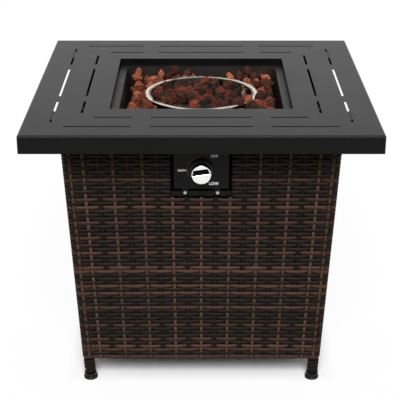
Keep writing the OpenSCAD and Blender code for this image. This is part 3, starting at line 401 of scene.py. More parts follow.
dice = random.Random(7)
course_tone = []
next_brown = 0
for row in range(COURSES):
    if row == next_brown:
        course_tone.append(dice.uniform(*BROWN_COURSE))
        next_brown += dice.choice(BROWN_AFTER)
    else:
        course_tone.append(dice.choice([dice.uniform(*tones) for tones in BLACK_COURSES]))
course_wobble = [[dice.uniform(0, 2 * math.pi) for _ in range(2)] for row in range(COURSES)]
course_width = [dice.uniform(*COURSE_WIDTHS) for row in range(COURSES)]
stake_tone = {}
for i in range(-1, STAKES + 1):
    brown = i % 2 == 0 or i in (-1, STAKES)
    stake_tone[i] = dice.uniform(*(BROWN_STAKE if brown else BLACK_STAKE))


def course_z(row):
    """Height of a course's middle."""
    return SKIRT_Z + (row + 0.5) * COURSE_H


def corner_r(row):
    """Radius at which a course goes round a leg: over or under the leg's own stake."""
    return CORNER_UNDER if row % 2 else CORNER_OVER


def weave_swing(row, place):
    """How far in a course lies at a place counted in stakes: -1 over a stake, 1 under it."""
    knots = np.array([-1.0 if (i + row) % 2 == 0 else 1.0 for i in range(SPACES + 1)])
    knots[0] = knots[-1] = (WRAP_R - corner_r(row) - MID_DEPTH) / STRAND_SWING
    low = np.clip(np.floor(place).astype(int), 0, SPACES - 1)
    share = (1 - np.cos(np.pi * np.clip(place - low, 0, 1))) / 2
    return knots[low] + (knots[low + 1] - knots[low]) * share


def around(start, sweep, shares):
    """Points of a unit circle at shares of a sweep, with angles in degrees."""
    turn = np.radians(start + sweep * shares)
    return np.stack([np.cos(turn), np.sin(turn)], 1)


def course_strip(row, start=None, end=None):
    """One course of strand along a side, from corner to corner or turned in at a cut edge."""
    z = course_z(row)
    half = half_at(z)
    reach = half - WRAP_R
    pitch = 2 * reach / SPACES
    first = -reach if start is None else start + TURN_R
    last = reach if end is None else end - TURN_R
    count = max(2, int(round((last - first) / pitch * PER_STAKE)))
    x = np.linspace(first, last, count + 1)
    swing = weave_swing(row, (x + reach) / pitch)
    path = np.stack([x, -half + MID_DEPTH + STRAND_SWING * swing], 1)
    pinch = 1 - PINCH * (1 + np.clip(swing, -1, 1))
    shares = np.linspace(0, 1, 4)
    if start is None:
        head = corner_r(row) * around(225, 45, shares[:-1]) - reach
    else:
        head = path[0] + [0, TURN_R] + TURN_R * around(180, 90, shares[:-1])
    if end is None:
        tail = corner_r(row) * around(270, 45, shares[1:]) + [reach, -reach]
    else:
        tail = path[-1] + [0, TURN_R] + TURN_R * around(270, 90, shares[1:])
    path = np.concatenate([head, path, tail])
    pinch = np.concatenate([np.ones(len(head)), pinch, np.ones(len(tail))])
    ahead = np.gradient(path, axis=0)
    ahead /= np.linalg.norm(ahead, axis=1)[:, None]
    out = np.stack([ahead[:, 1], -ahead[:, 0], np.zeros(len(path))], 1)
    along, (a, b) = path[:, 0], course_wobble[row]
    sag = SAG * np.sin(along * SAG_WAVE + z * SAG_SHIFT)
    lift = sag + WAVER * (np.sin(along * WAVER_LONG + a) + np.sin(along * WAVER_SHORT + b))
    points = np.column_stack([path, z + lift])
    up = out * TAPER + [0, 0, 1]
    width = STRAND_W * course_width[row] * pinch
    near = np.clip((reach - np.abs(along)) / pitch, 0, 1)
    thick = CORNER_T + (STRAND_T - CORNER_T) * near
    return points, out, up, width, thick, course_tone[row]


def stake_strip(index, low, high):
    """One upright between two heights, bulging out where a course passes behind it."""
    first = max(0, int(math.floor((low - SKIRT_Z) / COURSE_H)))
    last = min(COURSES - 1, int(math.ceil((high - SKIRT_Z) / COURSE_H)) - 1)
    heights = np.linspace(low, high, 3 * (last - first + 1) + 1)
    place = np.clip((heights - SKIRT_Z) / COURSE_H - 0.5, 0, COURSES - 1)
    row = np.floor(place).astype(int)
    share = (1 - np.cos(np.pi * (place - row))) / 2
    side = np.where((index + 1 + row) % 2 == 0, -1.0, 1.0)
    swing = side * (1 - 2 * share)
    half = half_at(heights)
    x = (half - WRAP_R) * (2 * (index + 1) / SPACES - 1)
    middle, sway, thick = MID_DEPTH, STAKE_SWING, STAKE_T
    if index in (-1, STAKES):
        x = x - math.copysign(LEG_STAKE_IN, x[0])
        middle, sway, thick = LEG_STAKE_DEPTH, LEG_STAKE_SWING, LEG_STAKE_T
    points = np.stack([x, -half + middle - sway * swing, heights], 1)
    ahead = np.gradient(points, axis=0)
    ahead /= np.linalg.norm(ahead, axis=1)[:, None]
    across = np.tile([1.0, 0.0, 0.0], (len(points), 1))
    out = np.cross(across, ahead) * -1
    return points, out, across, np.full(len(points), STAKE_W), np.full(len(points), thick), stake_tone[index]


def strips_mesh(name, strips, place=Matrix.Identity(4)):
    """Sweeps a flat rounded section along each strip: a grid is rolled up and its ends are closed."""
    bm = bmesh.new()
    spans = []
    for points, *_ in strips:
        before = len(bm.verts)
        bmesh.ops.create_grid(bm, x_segments=len(points) - 1, y_segments=ROUND, size=0.5)
        spans.append((before, len(bm.verts)))
    mesh = take_mesh(bm, name)
    flat = np.zeros(len(mesh.vertices) * 3)
    mesh.vertices.foreach_get("co", flat)
    flat = flat.reshape(-1, 3)
    flat = (flat - flat.min(0)) / np.maximum(flat.max(0) - flat.min(0), 1e-9)
    where = np.zeros_like(flat)
    strand = np.zeros_like(flat)
    for (low, high), (points, out, up, width, thick, tone) in zip(spans, strips):
        station = np.rint(flat[low:high, 0] * (len(points) - 1)).astype(int)
        across, proud = SECTION[np.rint(flat[low:high, 1] * ROUND).astype(int) % ROUND].T
        where[low:high] = (points[station]
                           + up[station] * (across * width[station] / 2)[:, None]
                           + out[station] * (proud * thick[station] / 2)[:, None])
        length = np.concatenate([[0], np.cumsum(np.linalg.norm(np.diff(points, axis=0), axis=1))])
        strand[low:high] = np.stack([length[station], across / 2 + 0.5, np.full(high - low, tone)], 1)
    turned = np.array(place.to_3x3())
    where = where @ turned.T + np.array(place.translation)
    mesh.vertices.foreach_set("co", where.ravel())
    layer = mesh.attributes.new("strand", "FLOAT_VECTOR", "POINT")
    layer.data.foreach_set("vector", strand.ravel())
    bm = bmesh.new()
    bm.from_mesh(mesh)
    bmesh.ops.remove_doubles(bm, verts=bm.verts, dist=0.002 * MM)
    bmesh.ops.holes_fill(bm, edges=[e for e in bm.edges if e.is_boundary], sides=0)
    bmesh.ops.recalc_face_normals(bm, faces=bm.faces)
    bm.to_mesh(mesh)
    bm.free()
    mesh.shade_smooth()
    return mesh


def side_strips(side):
    """Courses and stakes of one side of the base, round the panel's cut-out or the doorway."""
    strips = []
    for row in range(COURSES):
        z = course_z(row)
        gap = 0
        if side == 0 and z > CUTOUT_Z:
            gap = CUTOUT_HALF
        if side == 2 and DOOR_LOW - DOOR_GAP < z < DOOR_HIGH + DOOR_GAP:
            gap = DOORWAY_HALF
        if gap:
            strips += [course_strip(row, end=-gap), course_strip(row, start=gap)]
        else:
            strips.append(course_strip(row))
    edge = STAKE_W / 2 + 0.5 * MM
    for i in range(-1, STAKES + 1):
        spot = (half_at(WEAVE_TOP) - WRAP_R) * (2 * (i + 1) / SPACES - 1)
        if side == 0 and abs(spot) < CUTOUT_HALF + edge:
            strips.append(stake_strip(i, SKIRT_Z, CUTOUT_Z - MM))
        elif side == 2 and abs(spot) < DOORWAY_HALF + edge:
            strips.append(stake_strip(i, SKIRT_Z, DOOR_LOW - DOOR_GAP - MM))
            strips.append(stake_strip(i, DOOR_HIGH + DOOR_GAP + MM, WEAVE_TOP))
        else:
            strips.append(stake_strip(i, SKIRT_Z, WEAVE_TOP))
    return strips


def door_strips():
    """Courses and stakes of the door, in step with the wicker round it."""
    strips = []
    for row in range(COURSES):
        if DOOR_LOW + COURSE_H / 2 < course_z(row) < DOOR_HIGH - COURSE_H / 2:
            strips.append(course_strip(row, start=-DOOR_HALF, end=DOOR_HALF))
    for i in range(STAKES):
        share = abs(2 * (i + 1) / SPACES - 1)
        room = DOOR_HALF - STAKE_W / 2 - MM
        top = DOOR_HIGH - MM
        if share * (half_at(top) - WRAP_R) > room:
            top = SKIRT_Z + ((room / share + WRAP_R) - SKIRT_HALF) / TAPER
        if top > DOOR_LOW + 4 * COURSE_H:
            strips.append(stake_strip(i, DOOR_LOW + MM, top))
    return strips


def leg_winding(leg):
    """Strand wound round a leg tube from its foot cap to the top."""
    turns = (WIND_HIGH - WIND_LOW - STRAND_W) / WIND_PITCH
    angle = np.linspace(0, 2 * np.pi * turns, int(turns * PER_TURN) + 1)
    out = np.stack([np.cos(angle), np.sin(angle), np.zeros(len(angle))], 1)
    rise = WIND_LOW + STRAND_W / 2 + WIND_PITCH * angle / (2 * np.pi)
    far = LEG_R + np.where(rise < SKIRT_Z - 2 * MM, WIND_BARE, WIND_HIDDEN) * MM
    points = out * far[:, None] + np.stack([0 * angle, 0 * angle, rise], 1)
    up = np.tile([0.0, 0.0, 1.0], (len(angle), 1))
    post = half_at(0) - WRAP_R
    place = (side_matrix(leg) @ Matrix.Translation((-post, -post, 0))
             @ Matrix.Rotation(math.radians(225), 4, "Z") @ Matrix.Rotation(SPLAY, 4, "Y"))
    strip = points, out, up, np.full(len(angle), WIND_W), np.full(len(angle), WIND_T), WIND_TONE
    return strips_mesh(f"leg_winding_{leg + 1}", [strip], place)


SIDE_NAMES = ["front", "right", "back", "left"]
for side, side_name in enumerate(SIDE_NAMES):
    woven = strips_mesh(f"weave_{side_name}", side_strips(side), side_matrix(side))
    piece(f"weave_{side_name}", woven, "wicker", "table", f"wicker_{side_name}")
woven = strips_mesh("weave_door", door_strips(), side_matrix(2))
piece("weave_door", woven, "wicker", "door", "door_wicker")
for leg in range(4):
    piece(f"leg_winding_{leg + 1}", leg_winding(leg), "wicker", "table", f"leg_wrap_{leg + 1}")


# Door stop

STOP_HALF, STOP_W, STOP_T, STOP_OVER, STOP_DEPTH = 192 * MM, 21 * MM, 1.5 * MM, 12 * MM, 22.3 * MM
STOP_ROUND, CATCH_UP, CATCH_HALF = 0.3 * MM, 90 * MM, 23 * MM


def door_stop():
    """Flat steel strip on the stiles, behind the gap round the door, cut away at the magnet catch."""
    bm = bmesh.new()
    tall = (DOOR_HIGH - DOOR_LOW) / math.cos(LEAN) + 2 * STOP_OVER
    bmesh.ops.create_grid(bm, x_segments=1, y_segments=1, size=0.5)
    bmesh.ops.scale(bm, verts=bm.verts, vec=(2 * STOP_HALF, tall, 1.0))
    opening = bm.faces[:]
    bmesh.ops.inset_region(bm, faces=opening, thickness=STOP_W, use_boundary=True)
    bmesh.ops.delete(bm, geom=opening, context="FACES")
    for edge in (CATCH_UP - CATCH_HALF, CATCH_UP + CATCH_HALF):
        bmesh.ops.bisect_plane(bm, geom=bm.verts[:] + bm.edges[:] + bm.faces[:], plane_co=(0, edge, 0),
                               plane_no=(0, 1, 0))
    at_catch = [f for f in bm.faces if f.calc_center_median().x < 0
                and abs(f.calc_center_median().y - CATCH_UP) < CATCH_HALF]
    bmesh.ops.delete(bm, geom=at_catch, context="FACES")
    grown = bmesh.ops.extrude_face_region(bm, geom=bm.faces[:])
    inner = [v for v in grown["geom"] if isinstance(v, bmesh.types.BMVert)]
    bmesh.ops.translate(bm, verts=inner, vec=(0, 0, -STOP_T))
    bmesh.ops.recalc_face_normals(bm, faces=bm.faces)
    corners = [e for e in bm.edges if e.calc_face_angle() > math.radians(30)]
    bmesh.ops.bevel(bm, geom=corners, offset=STOP_ROUND, segments=2, profile=0.5, affect="EDGES", material=-1)
    mesh = take_mesh(bm, "door_stop")
    middle = (DOOR_LOW + DOOR_HIGH) / 2 / math.cos(LEAN)
    mesh.transform(side_matrix(2) @ on_front(0, STOP_DEPTH, middle) @ STAND)
    return mesh


piece("door_stop", door_stop(), "black_coat", "table")


# Lava rocks

PAN_FLOOR, PLATE_Z, RIM_Z, RIM_R = 0.530, 0.560, 0.576, 0.123
ROCK_TOP, RIM_ROOM = 0.597, 0.001
# Walls of the dish and of the pan: half width at the foot, and how far they open over what height
DISH_HALF, DISH_FLARE, DISH_FOOT, DISH_H = 0.103, 0.0085, 0.531, 0.045
PAN_HALF, PAN_FLARE, PAN_H = 0.150, 0.007, 0.054
PAN_CORNER, PAN_CORNER_R = 0.139, 0.024
PILOT_SPOTS, PILOT_ROOM = ((0.090, 0.0, 0.566), (0.090, 0.0, 0.582)), 0.011
BARE_SPOT, BARE_R = (-0.052, -0.068), 0.026
# How near a stone's middle comes to what it touches, as a share of its radius: the next stone or the
# pan's wall, the dish's wall, what it rests on or beside, the top of the heap, and the bare spot
PACKED, IN_DISH, RESTING, CREST, OFF_BARE = 0.92, 0.88, 0.8, 1.05, 0.6
# Number of stones, their radii in mm, and the range of their hue and of their lightness
INNER_COUNT, INNER_SIZE, INNER_HUE, INNER_LIGHT = 105, (8.0, 12.5), (-0.25, 0.45), (0.4, 1.1)
OUTER_COUNT, OUTER_SIZE, OUTER_HUE, OUTER_LIGHT = 235, (9.5, 14), (-0.05, 0.85), (0.4, 1.15)
# Where the stones are let fall from
INNER_FALL_R, INNER_FALL_Z = 0.105, (0.57, 0.66)
OUTER_FALL_X, OUTER_FALL_R, OUTER_FALL_Z = 0.16, (0.13, 0.17), (0.54, 0.70)
# Stones in front of the burner, which lie low, two on its rim, and the height below which none are seen
FRONT_Y, FRONT_HALF = -0.1, 0.095
ON_RIM, ON_RIM_SIZE, ON_RIM_UP = ((0.101, -0.079), (0.083, -0.096)), (10.5, 9.5), 0.85
SHOWN_Z = 0.558
# A stone lies beside the rim, not on it, when its middle is this share of its radius or more outside
BESIDE_RIM = 0.65
# How the heap settles: steps, how far a stone sinks in the first one, and how hard two stones push apart
STEPS, SINK, PUSH = 240, 0.0012, 0.35
SHAPES, FINE, COARSE = 12, 4, 3
# Form of a stone, in shares of its radius: its swellings and small lumps as height and fineness, flat
# chips with their distance from the middle and what they leave, pits, and how it is drawn out
SWELLINGS, LUMP_H, LUMP_FINE = ((0.34, 1.2), (0.2, 2.6)), 0.13, 6.0
CHIPS, CHIP_AT, CHIP_LEFT = 6, (0.66, 0.9), 0.25
PIT_R, PIT_FINE, PIT_DEPTH = 0.42, 2.9, 0.65
# How much painted shade darkens a stone: all over, the more so in its pits, and the less so on its lumps,
# where painted light brightens it
DARK, DARK_PIT, LIGHT_LUMP = 0.25, 2.6, 0.7
DRAWN_OUT = ((1.05, 1.45), (0.85, 1.0), (0.72, 0.9))


def stone_shape(seed, level):
    """A chipped, pitted stone, about 1 in radius, and how much painted shade each of its points gets: more in
    a pit, less on a lump.
    """
    luck = random.Random(seed)
    bm = bmesh.new()
    bmesh.ops.create_icosphere(bm, subdivisions=level, radius=1.0)
    shift = Vector([luck.uniform(-50, 50) for _ in range(3)])
    cuts = []
    for _ in range(CHIPS):
        way = Vector([luck.gauss(0, 1) for _ in range(3)]).normalized()
        cuts.append((way, luck.uniform(*CHIP_AT)))
    stretch = Vector([luck.uniform(*span) for span in DRAWN_OUT])
    pit_shade = []
    for v in bm.verts:
        way = v.co.normalized()
        far = sum((height * noise.noise(way * fine + shift) for height, fine in SWELLINGS), 1)
        for cut, limit in cuts:
            face = way.dot(cut)
            if face * far > limit:
                far = limit / face + CHIP_LEFT * (far - limit / face)
        pit = max(0.0, PIT_R - noise.voronoi(way * PIT_FINE + shift)[0][0])
        lump = noise.noise(way * LUMP_FINE + shift)
        # painted shade, more in a pit and less on a lump
        pit_shade.append(min(1.0, max(0.0, DARK + DARK_PIT * pit - LIGHT_LUMP * lump)))
        v.co = way * (far + LUMP_H * lump - PIT_DEPTH * pit) * stretch
    return take_mesh(bm, "stone"), np.array(pit_shade)


def settle(radii, spread, keep_in, luck):
    """Lets balls of these radii sink and push apart until they lie as a heap in their container."""
    spots = np.array([spread(luck) for _ in radii])
    for step in range(STEPS):
        spots[:, 2] -= SINK * (1 - step / STEPS)
        for _ in range(2):
            gap = spots[:, None, :] - spots[None, :, :]
            far = np.linalg.norm(gap, axis=2) + np.eye(len(radii))
            touch = (radii[:, None] + radii[None, :]) * PACKED - far
            push = np.where(touch > 0, touch, 0) * (1 - np.eye(len(radii)))
            spots += PUSH * (gap / far[:, :, None] * push[:, :, None]).sum(1)
            spots = keep_in(spots, radii)
    return spots


def dish_wall(z):
    """Radius of the dish's wall at a height."""
    return DISH_HALF + DISH_FLARE * np.clip((z - DISH_FOOT) / DISH_H, 0, 1)


def clear_of(spots, radii, centre, room):
    """Pushes stones out of a round space that stays free."""
    gap = spots - centre
    far = np.linalg.norm(gap, axis=1)
    push = np.maximum(0, radii * RESTING + room - far)
    return spots + gap / np.maximum(far, 1e-6)[:, None] * push[:, None]


def hold(spots, least, most):
    """Brings stones to a distance from the middle between two limits."""
    far = np.maximum(np.linalg.norm(spots[:, :2], axis=1), 1e-9)
    spots[:, :2] *= (np.clip(far, least, most) / far)[:, None]


def in_burner(spots, radii):
    """Inside the dish: on the flame plate, clear of the pilot."""
    for spot in PILOT_SPOTS:
        spots = clear_of(spots, radii, spot, PILOT_ROOM)
    hold(spots, 0, dish_wall(spots[:, 2]) - IN_DISH * radii)
    spots[:, 2] = np.clip(spots[:, 2], PLATE_Z + RESTING * radii, ROCK_TOP - CREST * radii)
    return spots


def in_pan(spots, radii):
    """Between the pan's walls and the burner dish."""
    wall = PAN_HALF + PAN_FLARE * np.clip((spots[:, 2] - PAN_FLOOR) / PAN_H, 0, 1) - PACKED * radii
    spots[:, 0] = np.clip(spots[:, 0], -wall, wall)
    spots[:, 1] = np.clip(spots[:, 1], -wall, wall)
    hold(spots, 0, PAN_CORNER * math.sqrt(2) + PAN_CORNER_R - PACKED * radii)
    hold(spots, RIM_R + RESTING * radii, math.inf)
    spots[:, 2] = np.clip(spots[:, 2], PAN_FLOOR + RESTING * radii, ROCK_TOP - CREST * radii)
    return spots


def beside_rim(points):
    """Moves a stone that cuts into the burner's rim outward or down, whichever is the shorter way."""
    far = np.linalg.norm(points[:, :2], axis=1)
    over = far[points[:, 2] > RIM_Z - RIM_ROOM]
    inside = points[far < RIM_R + RIM_ROOM, 2]
    if not len(over) or not len(inside):
        return points
    outward, down = RIM_R + RIM_ROOM - over.min(), inside.max() - RIM_Z + RIM_ROOM
    if outward <= 0 or down <= 0:
        return points
    if down < outward:
        return points - (0, 0, down)
    middle = points.mean(axis=0) * (1, 1, 0)
    return points + middle / np.linalg.norm(middle) * outward


def rock_bed(name, spots, radii, hues, lights, level, luck, *replaced):
    """Sets one of the stone shapes at each spot, turned at random, as one piece."""
    shapes = []
    for k in range(SHAPES):
        mesh, pit_shade = stone_shape(31 * level + k, level)
        co = np.zeros(len(mesh.vertices) * 3)
        mesh.vertices.foreach_get("co", co)
        shapes.append((mesh, co.reshape(-1, 3), pit_shade))
    bm = bmesh.new()
    where, stone = [], []
    for spot, radius, hue, light in zip(spots, radii, hues, lights):
        mesh, co, pit_shade = luck.choice(shapes)
        bm.from_mesh(mesh)
        turn = Euler([luck.uniform(0, 2 * math.pi) for _ in range(3)]).to_matrix()
        points = co @ np.array(turn).T * radius + spot
        if math.hypot(spot[0], spot[1]) > RIM_R + BESIDE_RIM * radius:
            points = beside_rim(points)
        where.append(points)
        stone.append(np.column_stack([np.full(len(co), hue), np.full(len(co), light), pit_shade]))
    mesh = take_mesh(bm, name)
    for shape, *_ in shapes:
        bpy.data.meshes.remove(shape)
    mesh.vertices.foreach_set("co", np.concatenate(where).ravel())
    layer = mesh.attributes.new("stone", "FLOAT_VECTOR", "POINT")
    layer.data.foreach_set("vector", np.concatenate(stone).ravel())
    mesh.shade_smooth()
    piece(name, mesh, "lava_rock", "table", *replaced)


luck = random.Random(23)
inner_r = np.array([luck.uniform(*INNER_SIZE) for _ in range(INNER_COUNT)]) * MM


def over_burner(luck):
    """A place above the burner's plate."""
    turn, far = luck.uniform(0, 2 * math.pi), INNER_FALL_R * math.sqrt(luck.random())
    return far * math.cos(turn), far * math.sin(turn), luck.uniform(*INNER_FALL_Z)


inner = settle(inner_r, over_burner, in_burner, luck)
off_bare = np.linalg.norm(inner[:, :2] - BARE_SPOT, axis=1) > BARE_R + OFF_BARE * inner_r
inner, inner_r = inner[off_bare], inner_r[off_bare]
inner_hue = [luck.uniform(*INNER_HUE) for _ in inner]
inner_light = [luck.uniform(*INNER_LIGHT) for _ in inner]
rock_bed("rocks_in_burner", inner, inner_r, inner_hue, inner_light, FINE, luck, "rocks_inner")

outer_r = np.array([luck.uniform(*OUTER_SIZE) for _ in range(OUTER_COUNT)]) * MM


def over_pan(luck):
    """A place above the pan outside the burner, more often in its corners."""
    while True:
        x, y = [luck.uniform(-OUTER_FALL_X, OUTER_FALL_X) for _ in range(2)]
        if math.hypot(x, y) > luck.uniform(*OUTER_FALL_R):
            return x, y, luck.uniform(*OUTER_FALL_Z)


outer = settle(outer_r, over_pan, in_pan, luck)
front = (outer[:, 1] < FRONT_Y) & (np.abs(outer[:, 0]) < FRONT_HALF)
low = ~front | (outer[:, 2] + outer_r < RIM_Z)
outer, outer_r = outer[low], outer_r[low]
rim_r = np.array(ON_RIM_SIZE) * MM
on_rim = np.column_stack([ON_RIM, RIM_Z + ON_RIM_UP * rim_r])
outer, outer_r = np.concatenate([outer, on_rim]), np.concatenate([outer_r, rim_r])
outer_hue = np.array([luck.uniform(*OUTER_HUE) for _ in outer])
outer_light = np.array([luck.uniform(*OUTER_LIGHT) for _ in outer])
shown = outer[:, 2] > SHOWN_Z
rock_bed("rocks_round_burner", outer[shown], outer_r[shown], outer_hue[shown], outer_light[shown],
         FINE, luck, "rocks_outer")
rock_bed("rocks_underneath", outer[~shown], outer_r[~shown], outer_hue[~shown], outer_light[~shown],
         COARSE, luck)


# Dial

PANEL_DEPTH = 2.0 * MM
PRINT_T = 0.08 * MM
BOLD = 0.25 * MM
# Red arc, its angles counted from the right
ARC_R, ARC_LINE, ARC_FROM, ARC_SWEEP = 28 * MM, 1.0 * MM, math.radians(88), math.radians(125)
# Words, with the place of their middle and the size of their letters, in mm
WORDS = [("OFF", 26, 30, 8.5), ("HIGH", -39, -1, 7), ("LOW", 25, -30, 8.5)]


def ink(name, low, high):
    """Screen-printed ink: flat and slightly uneven where the mesh let more or less through."""
    made, tree, shader, place = material(name)
    spread = add(tree, "TexNoise", {"Vector": place, "Scale": 1 / (0.6 * MM), "Detail": 1.0})
    tone = add(tree, "ValToRGB", {"Fac": spread.outputs["Fac"]}, [(0.3, low), (0.7, high)])
    rough = add(tree, "MapRange", {"Value": spread.outputs["Fac"], "To Min": 0.45, "To Max": 0.65})
    feed(tree, shader, {"Base Color": tone.outputs["Color"], "Roughness": rough.outputs["Result"]})
    return made


WHITE_INK = ink("white screen-print ink", "#efefed", "#f8f8f6")
RED_INK = ink("red screen-print ink", "#7d191c", "#8c1e20")
dial_height = KNOB_Z / math.cos(LEAN)
# the print's own frame: x across, y up the panel, z out of it
dial_face = on_front(0, PANEL_DEPTH - PRINT_T / 2, dial_height) @ STAND


def printed(name, mesh, colour):
    """Links a finished print of one ink."""
    mesh.materials.append(colour)
    piece(name, mesh, "black_coat", "table")


def printed_word(name, word, x, y, size):
    """A word of the dial, set centred and given the ink's thickness."""
    curve = bpy.data.curves.new(name, "FONT")
    curve.body, curve.size, curve.align_x, curve.align_y = word, size, "CENTER", "CENTER"
    curve.extrude, curve.offset = PRINT_T / 2, BOLD
    holder = bpy.data.objects.new(name, curve)
    mesh = bpy.data.meshes.new_from_object(holder)
    bpy.data.objects.remove(holder)
    mesh.transform(dial_face @ Matrix.Translation((x, y, 0)))
    printed(name, mesh, WHITE_INK)


def dial_arc():
    """Line round the knob, from the top towards HIGH."""
    bm = bmesh.new()
    line = bm.edges.new([bm.verts.new((r, 0, -PRINT_T / 2)) for r in (ARC_R, ARC_R + ARC_LINE)])
    bmesh.ops.rotate(bm, verts=bm.verts, cent=(0, 0, 0), matrix=Matrix.Rotation(ARC_FROM, 3, "Z"))
    bmesh.ops.spin(bm, geom=[line], cent=(0, 0, 0), axis=(0, 0, 1), angle=ARC_SWEEP, steps=40)
    bmesh.ops.recalc_face_normals(bm, faces=bm.faces)
    bmesh.ops.solidify(bm, geom=bm.faces[:], thickness=PRINT_T)
    bmesh.ops.recalc_face_normals(bm, faces=bm.faces)
    mesh = take_mesh(bm, "dial_arc")
    mesh.transform(dial_face)
    return mesh


for word, x, y, size in WORDS:
    printed_word(f"dial_{word.lower()}", word, x * MM, y * MM, size * MM)
printed("dial_arc", dial_arc(), RED_INK)


# Knob

KNOB_FRONT = 20.6 * MM
GRIP_R, GRIP_ROOT, GRIP_TOP, GRIP_FALL = 18.4 * MM, 1.2 * MM, 11 * MM, math.radians(14)
RIDGE_UP, FLANK_UP, FLANK_HALF, BROW_ROUND = 2.5 * MM, 11.5 * MM, 14.7 * MM, 0.9 * MM
GRIP_TURN = math.radians(8)
# the knob's own frame: x across, y up, z out along its axis, from the back of its face
knob_face = on_front(0, -KNOB_FRONT, dial_height) @ STAND


def knob_dial():
    """Bright face of the knob: a turned plate with a rolled edge and a shallow dish."""
    bm = bmesh.new()
    # radius and height in mm, from the middle of the back round the edge to the middle of the front
    outline = [(0, 0), (18.9, 0), (19.6, 0.5), (19.7, 1.1), (19.2, 1.75), (18.3, 2.0), (17.6, 1.9),
               (16.8, 1.65), (0, 1.5)]
    spots = [bm.verts.new((r * MM, 0, h * MM)) for r, h in outline]
    for a, b in zip(spots, spots[1:]):
        bm.edges.new((a, b))
    bmesh.ops.spin(bm, geom=bm.verts[:] + bm.edges[:], cent=(0, 0, 0), axis=(0, 0, 1), angle=2 * math.pi,
                   steps=96, use_merge=True)
    bmesh.ops.remove_doubles(bm, verts=bm.verts, dist=0.001 * MM)
    bmesh.ops.recalc_face_normals(bm, faces=bm.faces)
    mesh = take_mesh(bm, "knob_dial")
    mesh.transform(knob_face)
    mesh.shade_smooth()
    return mesh


def knob_grip():
    """Grip of the knob: its lower half stands proud, up to a straight ridge with a steep flank above."""
    bm = bmesh.new()
    bmesh.ops.create_circle(bm, cap_ends=True, segments=72, radius=GRIP_R)
    bmesh.ops.bisect_plane(bm, geom=bm.verts[:] + bm.edges[:] + bm.faces[:], plane_co=(0, RIDGE_UP, 0),
                           plane_no=(0, 1, 0), clear_outer=True)
    grown = bmesh.ops.extrude_face_region(bm, geom=bm.faces[:])
    front = [v for v in grown["geom"] if isinstance(v, bmesh.types.BMVert)]
    for v in bm.verts:
        if v in front:
            v.co.z = GRIP_TOP - (RIDGE_UP - v.co.y) * math.tan(GRIP_FALL)
        else:
            v.co.z = GRIP_ROOT
            if v.co.y > RIDGE_UP - 0.01 * MM:
                v.co.x, v.co.y = math.copysign(FLANK_HALF, v.co.x), FLANK_UP
    bmesh.ops.recalc_face_normals(bm, faces=bm.faces)
    brow = [e for e in bm.edges if min(v.co.z for v in e.verts) > 2 * GRIP_ROOT]
    bmesh.ops.bevel(bm, geom=brow, offset=BROW_ROUND, segments=4, profile=0.5, affect="EDGES", material=-1)
    bmesh.ops.recalc_face_normals(bm, faces=bm.faces)
    mesh = take_mesh(bm, "knob_grip")
    mesh.transform(knob_face @ Matrix.Rotation(GRIP_TURN, 4, "Z"))
    mesh.shade_smooth()
    mesh.set_sharp_from_angle(angle=math.radians(35))
    return mesh


piece("knob_dial", knob_dial(), "chrome", "knob", "knob_face")
piece("knob_grip", knob_grip(), "chrome", "knob")


# Return spring

SPRING_R, SPRING_WIRE, SPRING_TURNS = 3.1 * MM, 0.5 * MM, 5
SPRING_FROM, SPRING_RISE, SPRING_PUSH = 23.3 * MM, 5.8 * MM, 3.0 * MM


def return_spring():
    """Wire wound between the spindle's end and the bottom of the plug's bore."""
    bm = bmesh.new()
    steps = SPRING_TURNS * PER_TURN
    bmesh.ops.create_circle(bm, segments=10, radius=SPRING_WIRE, matrix=Matrix.Translation((SPRING_R, 0, 0)))
    bmesh.ops.spin(bm, geom=bm.verts[:] + bm.edges[:], cent=(0, 0, 0), axis=(0, -1, 0),
                   dvec=(0, SPRING_RISE / steps, 0), angle=2 * math.pi * SPRING_TURNS, steps=steps)
    bmesh.ops.holes_fill(bm, edges=[e for e in bm.edges if e.is_boundary], sides=0)
    bmesh.ops.recalc_face_normals(bm, faces=bm.faces)
    mesh = take_mesh(bm, "valve_spring")
    mesh.transform(on_front(0, SPRING_FROM, dial_height))
    mesh.shade_smooth()
    return mesh


spring = piece("valve_spring", return_spring(), "zinc_steel", "valve_plug", "return_spring")
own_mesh(spring)


# Panel screws

SCREW_X, SCREW_UP, SCREW_DEPTH = 33 * MM, 448.55 * MM, 6.4 * MM
HEAD_R, HEAD_H, SHANK_R, SHANK_LONG = 3.8 * MM, 2.4 * MM, 2.0 * MM, 10.6 * MM
RECESS_ARM, RECESS_REACH, RECESS_DEEP, RECESS_DRAW = 0.45 * MM, 2.1 * MM, 1.3 * MM, 0.75
# The head's crown and brow, as shares of its radius and height, and how the tip narrows
CROWN_R, CROWN_H, BROW_H, TIP_DRAW = 0.8, 0.86, 0.44, 0.9
SCREW_TURNS = (20, 65)


def grow_loop(bm, edges, share, rise):
    """Carries an edge loop on: a new loop, drawn in or out by a share and moved along z."""
    grown = bmesh.ops.extrude_edge_only(bm, edges=edges)["geom"]
    verts = [v for v in grown if isinstance(v, bmesh.types.BMVert)]
    bmesh.ops.scale(bm, verts=verts, vec=(share, share, 1.0))
    bmesh.ops.translate(bm, verts=verts, vec=(0, 0, rise))
    return [e for e in grown if isinstance(e, bmesh.types.BMEdge)]


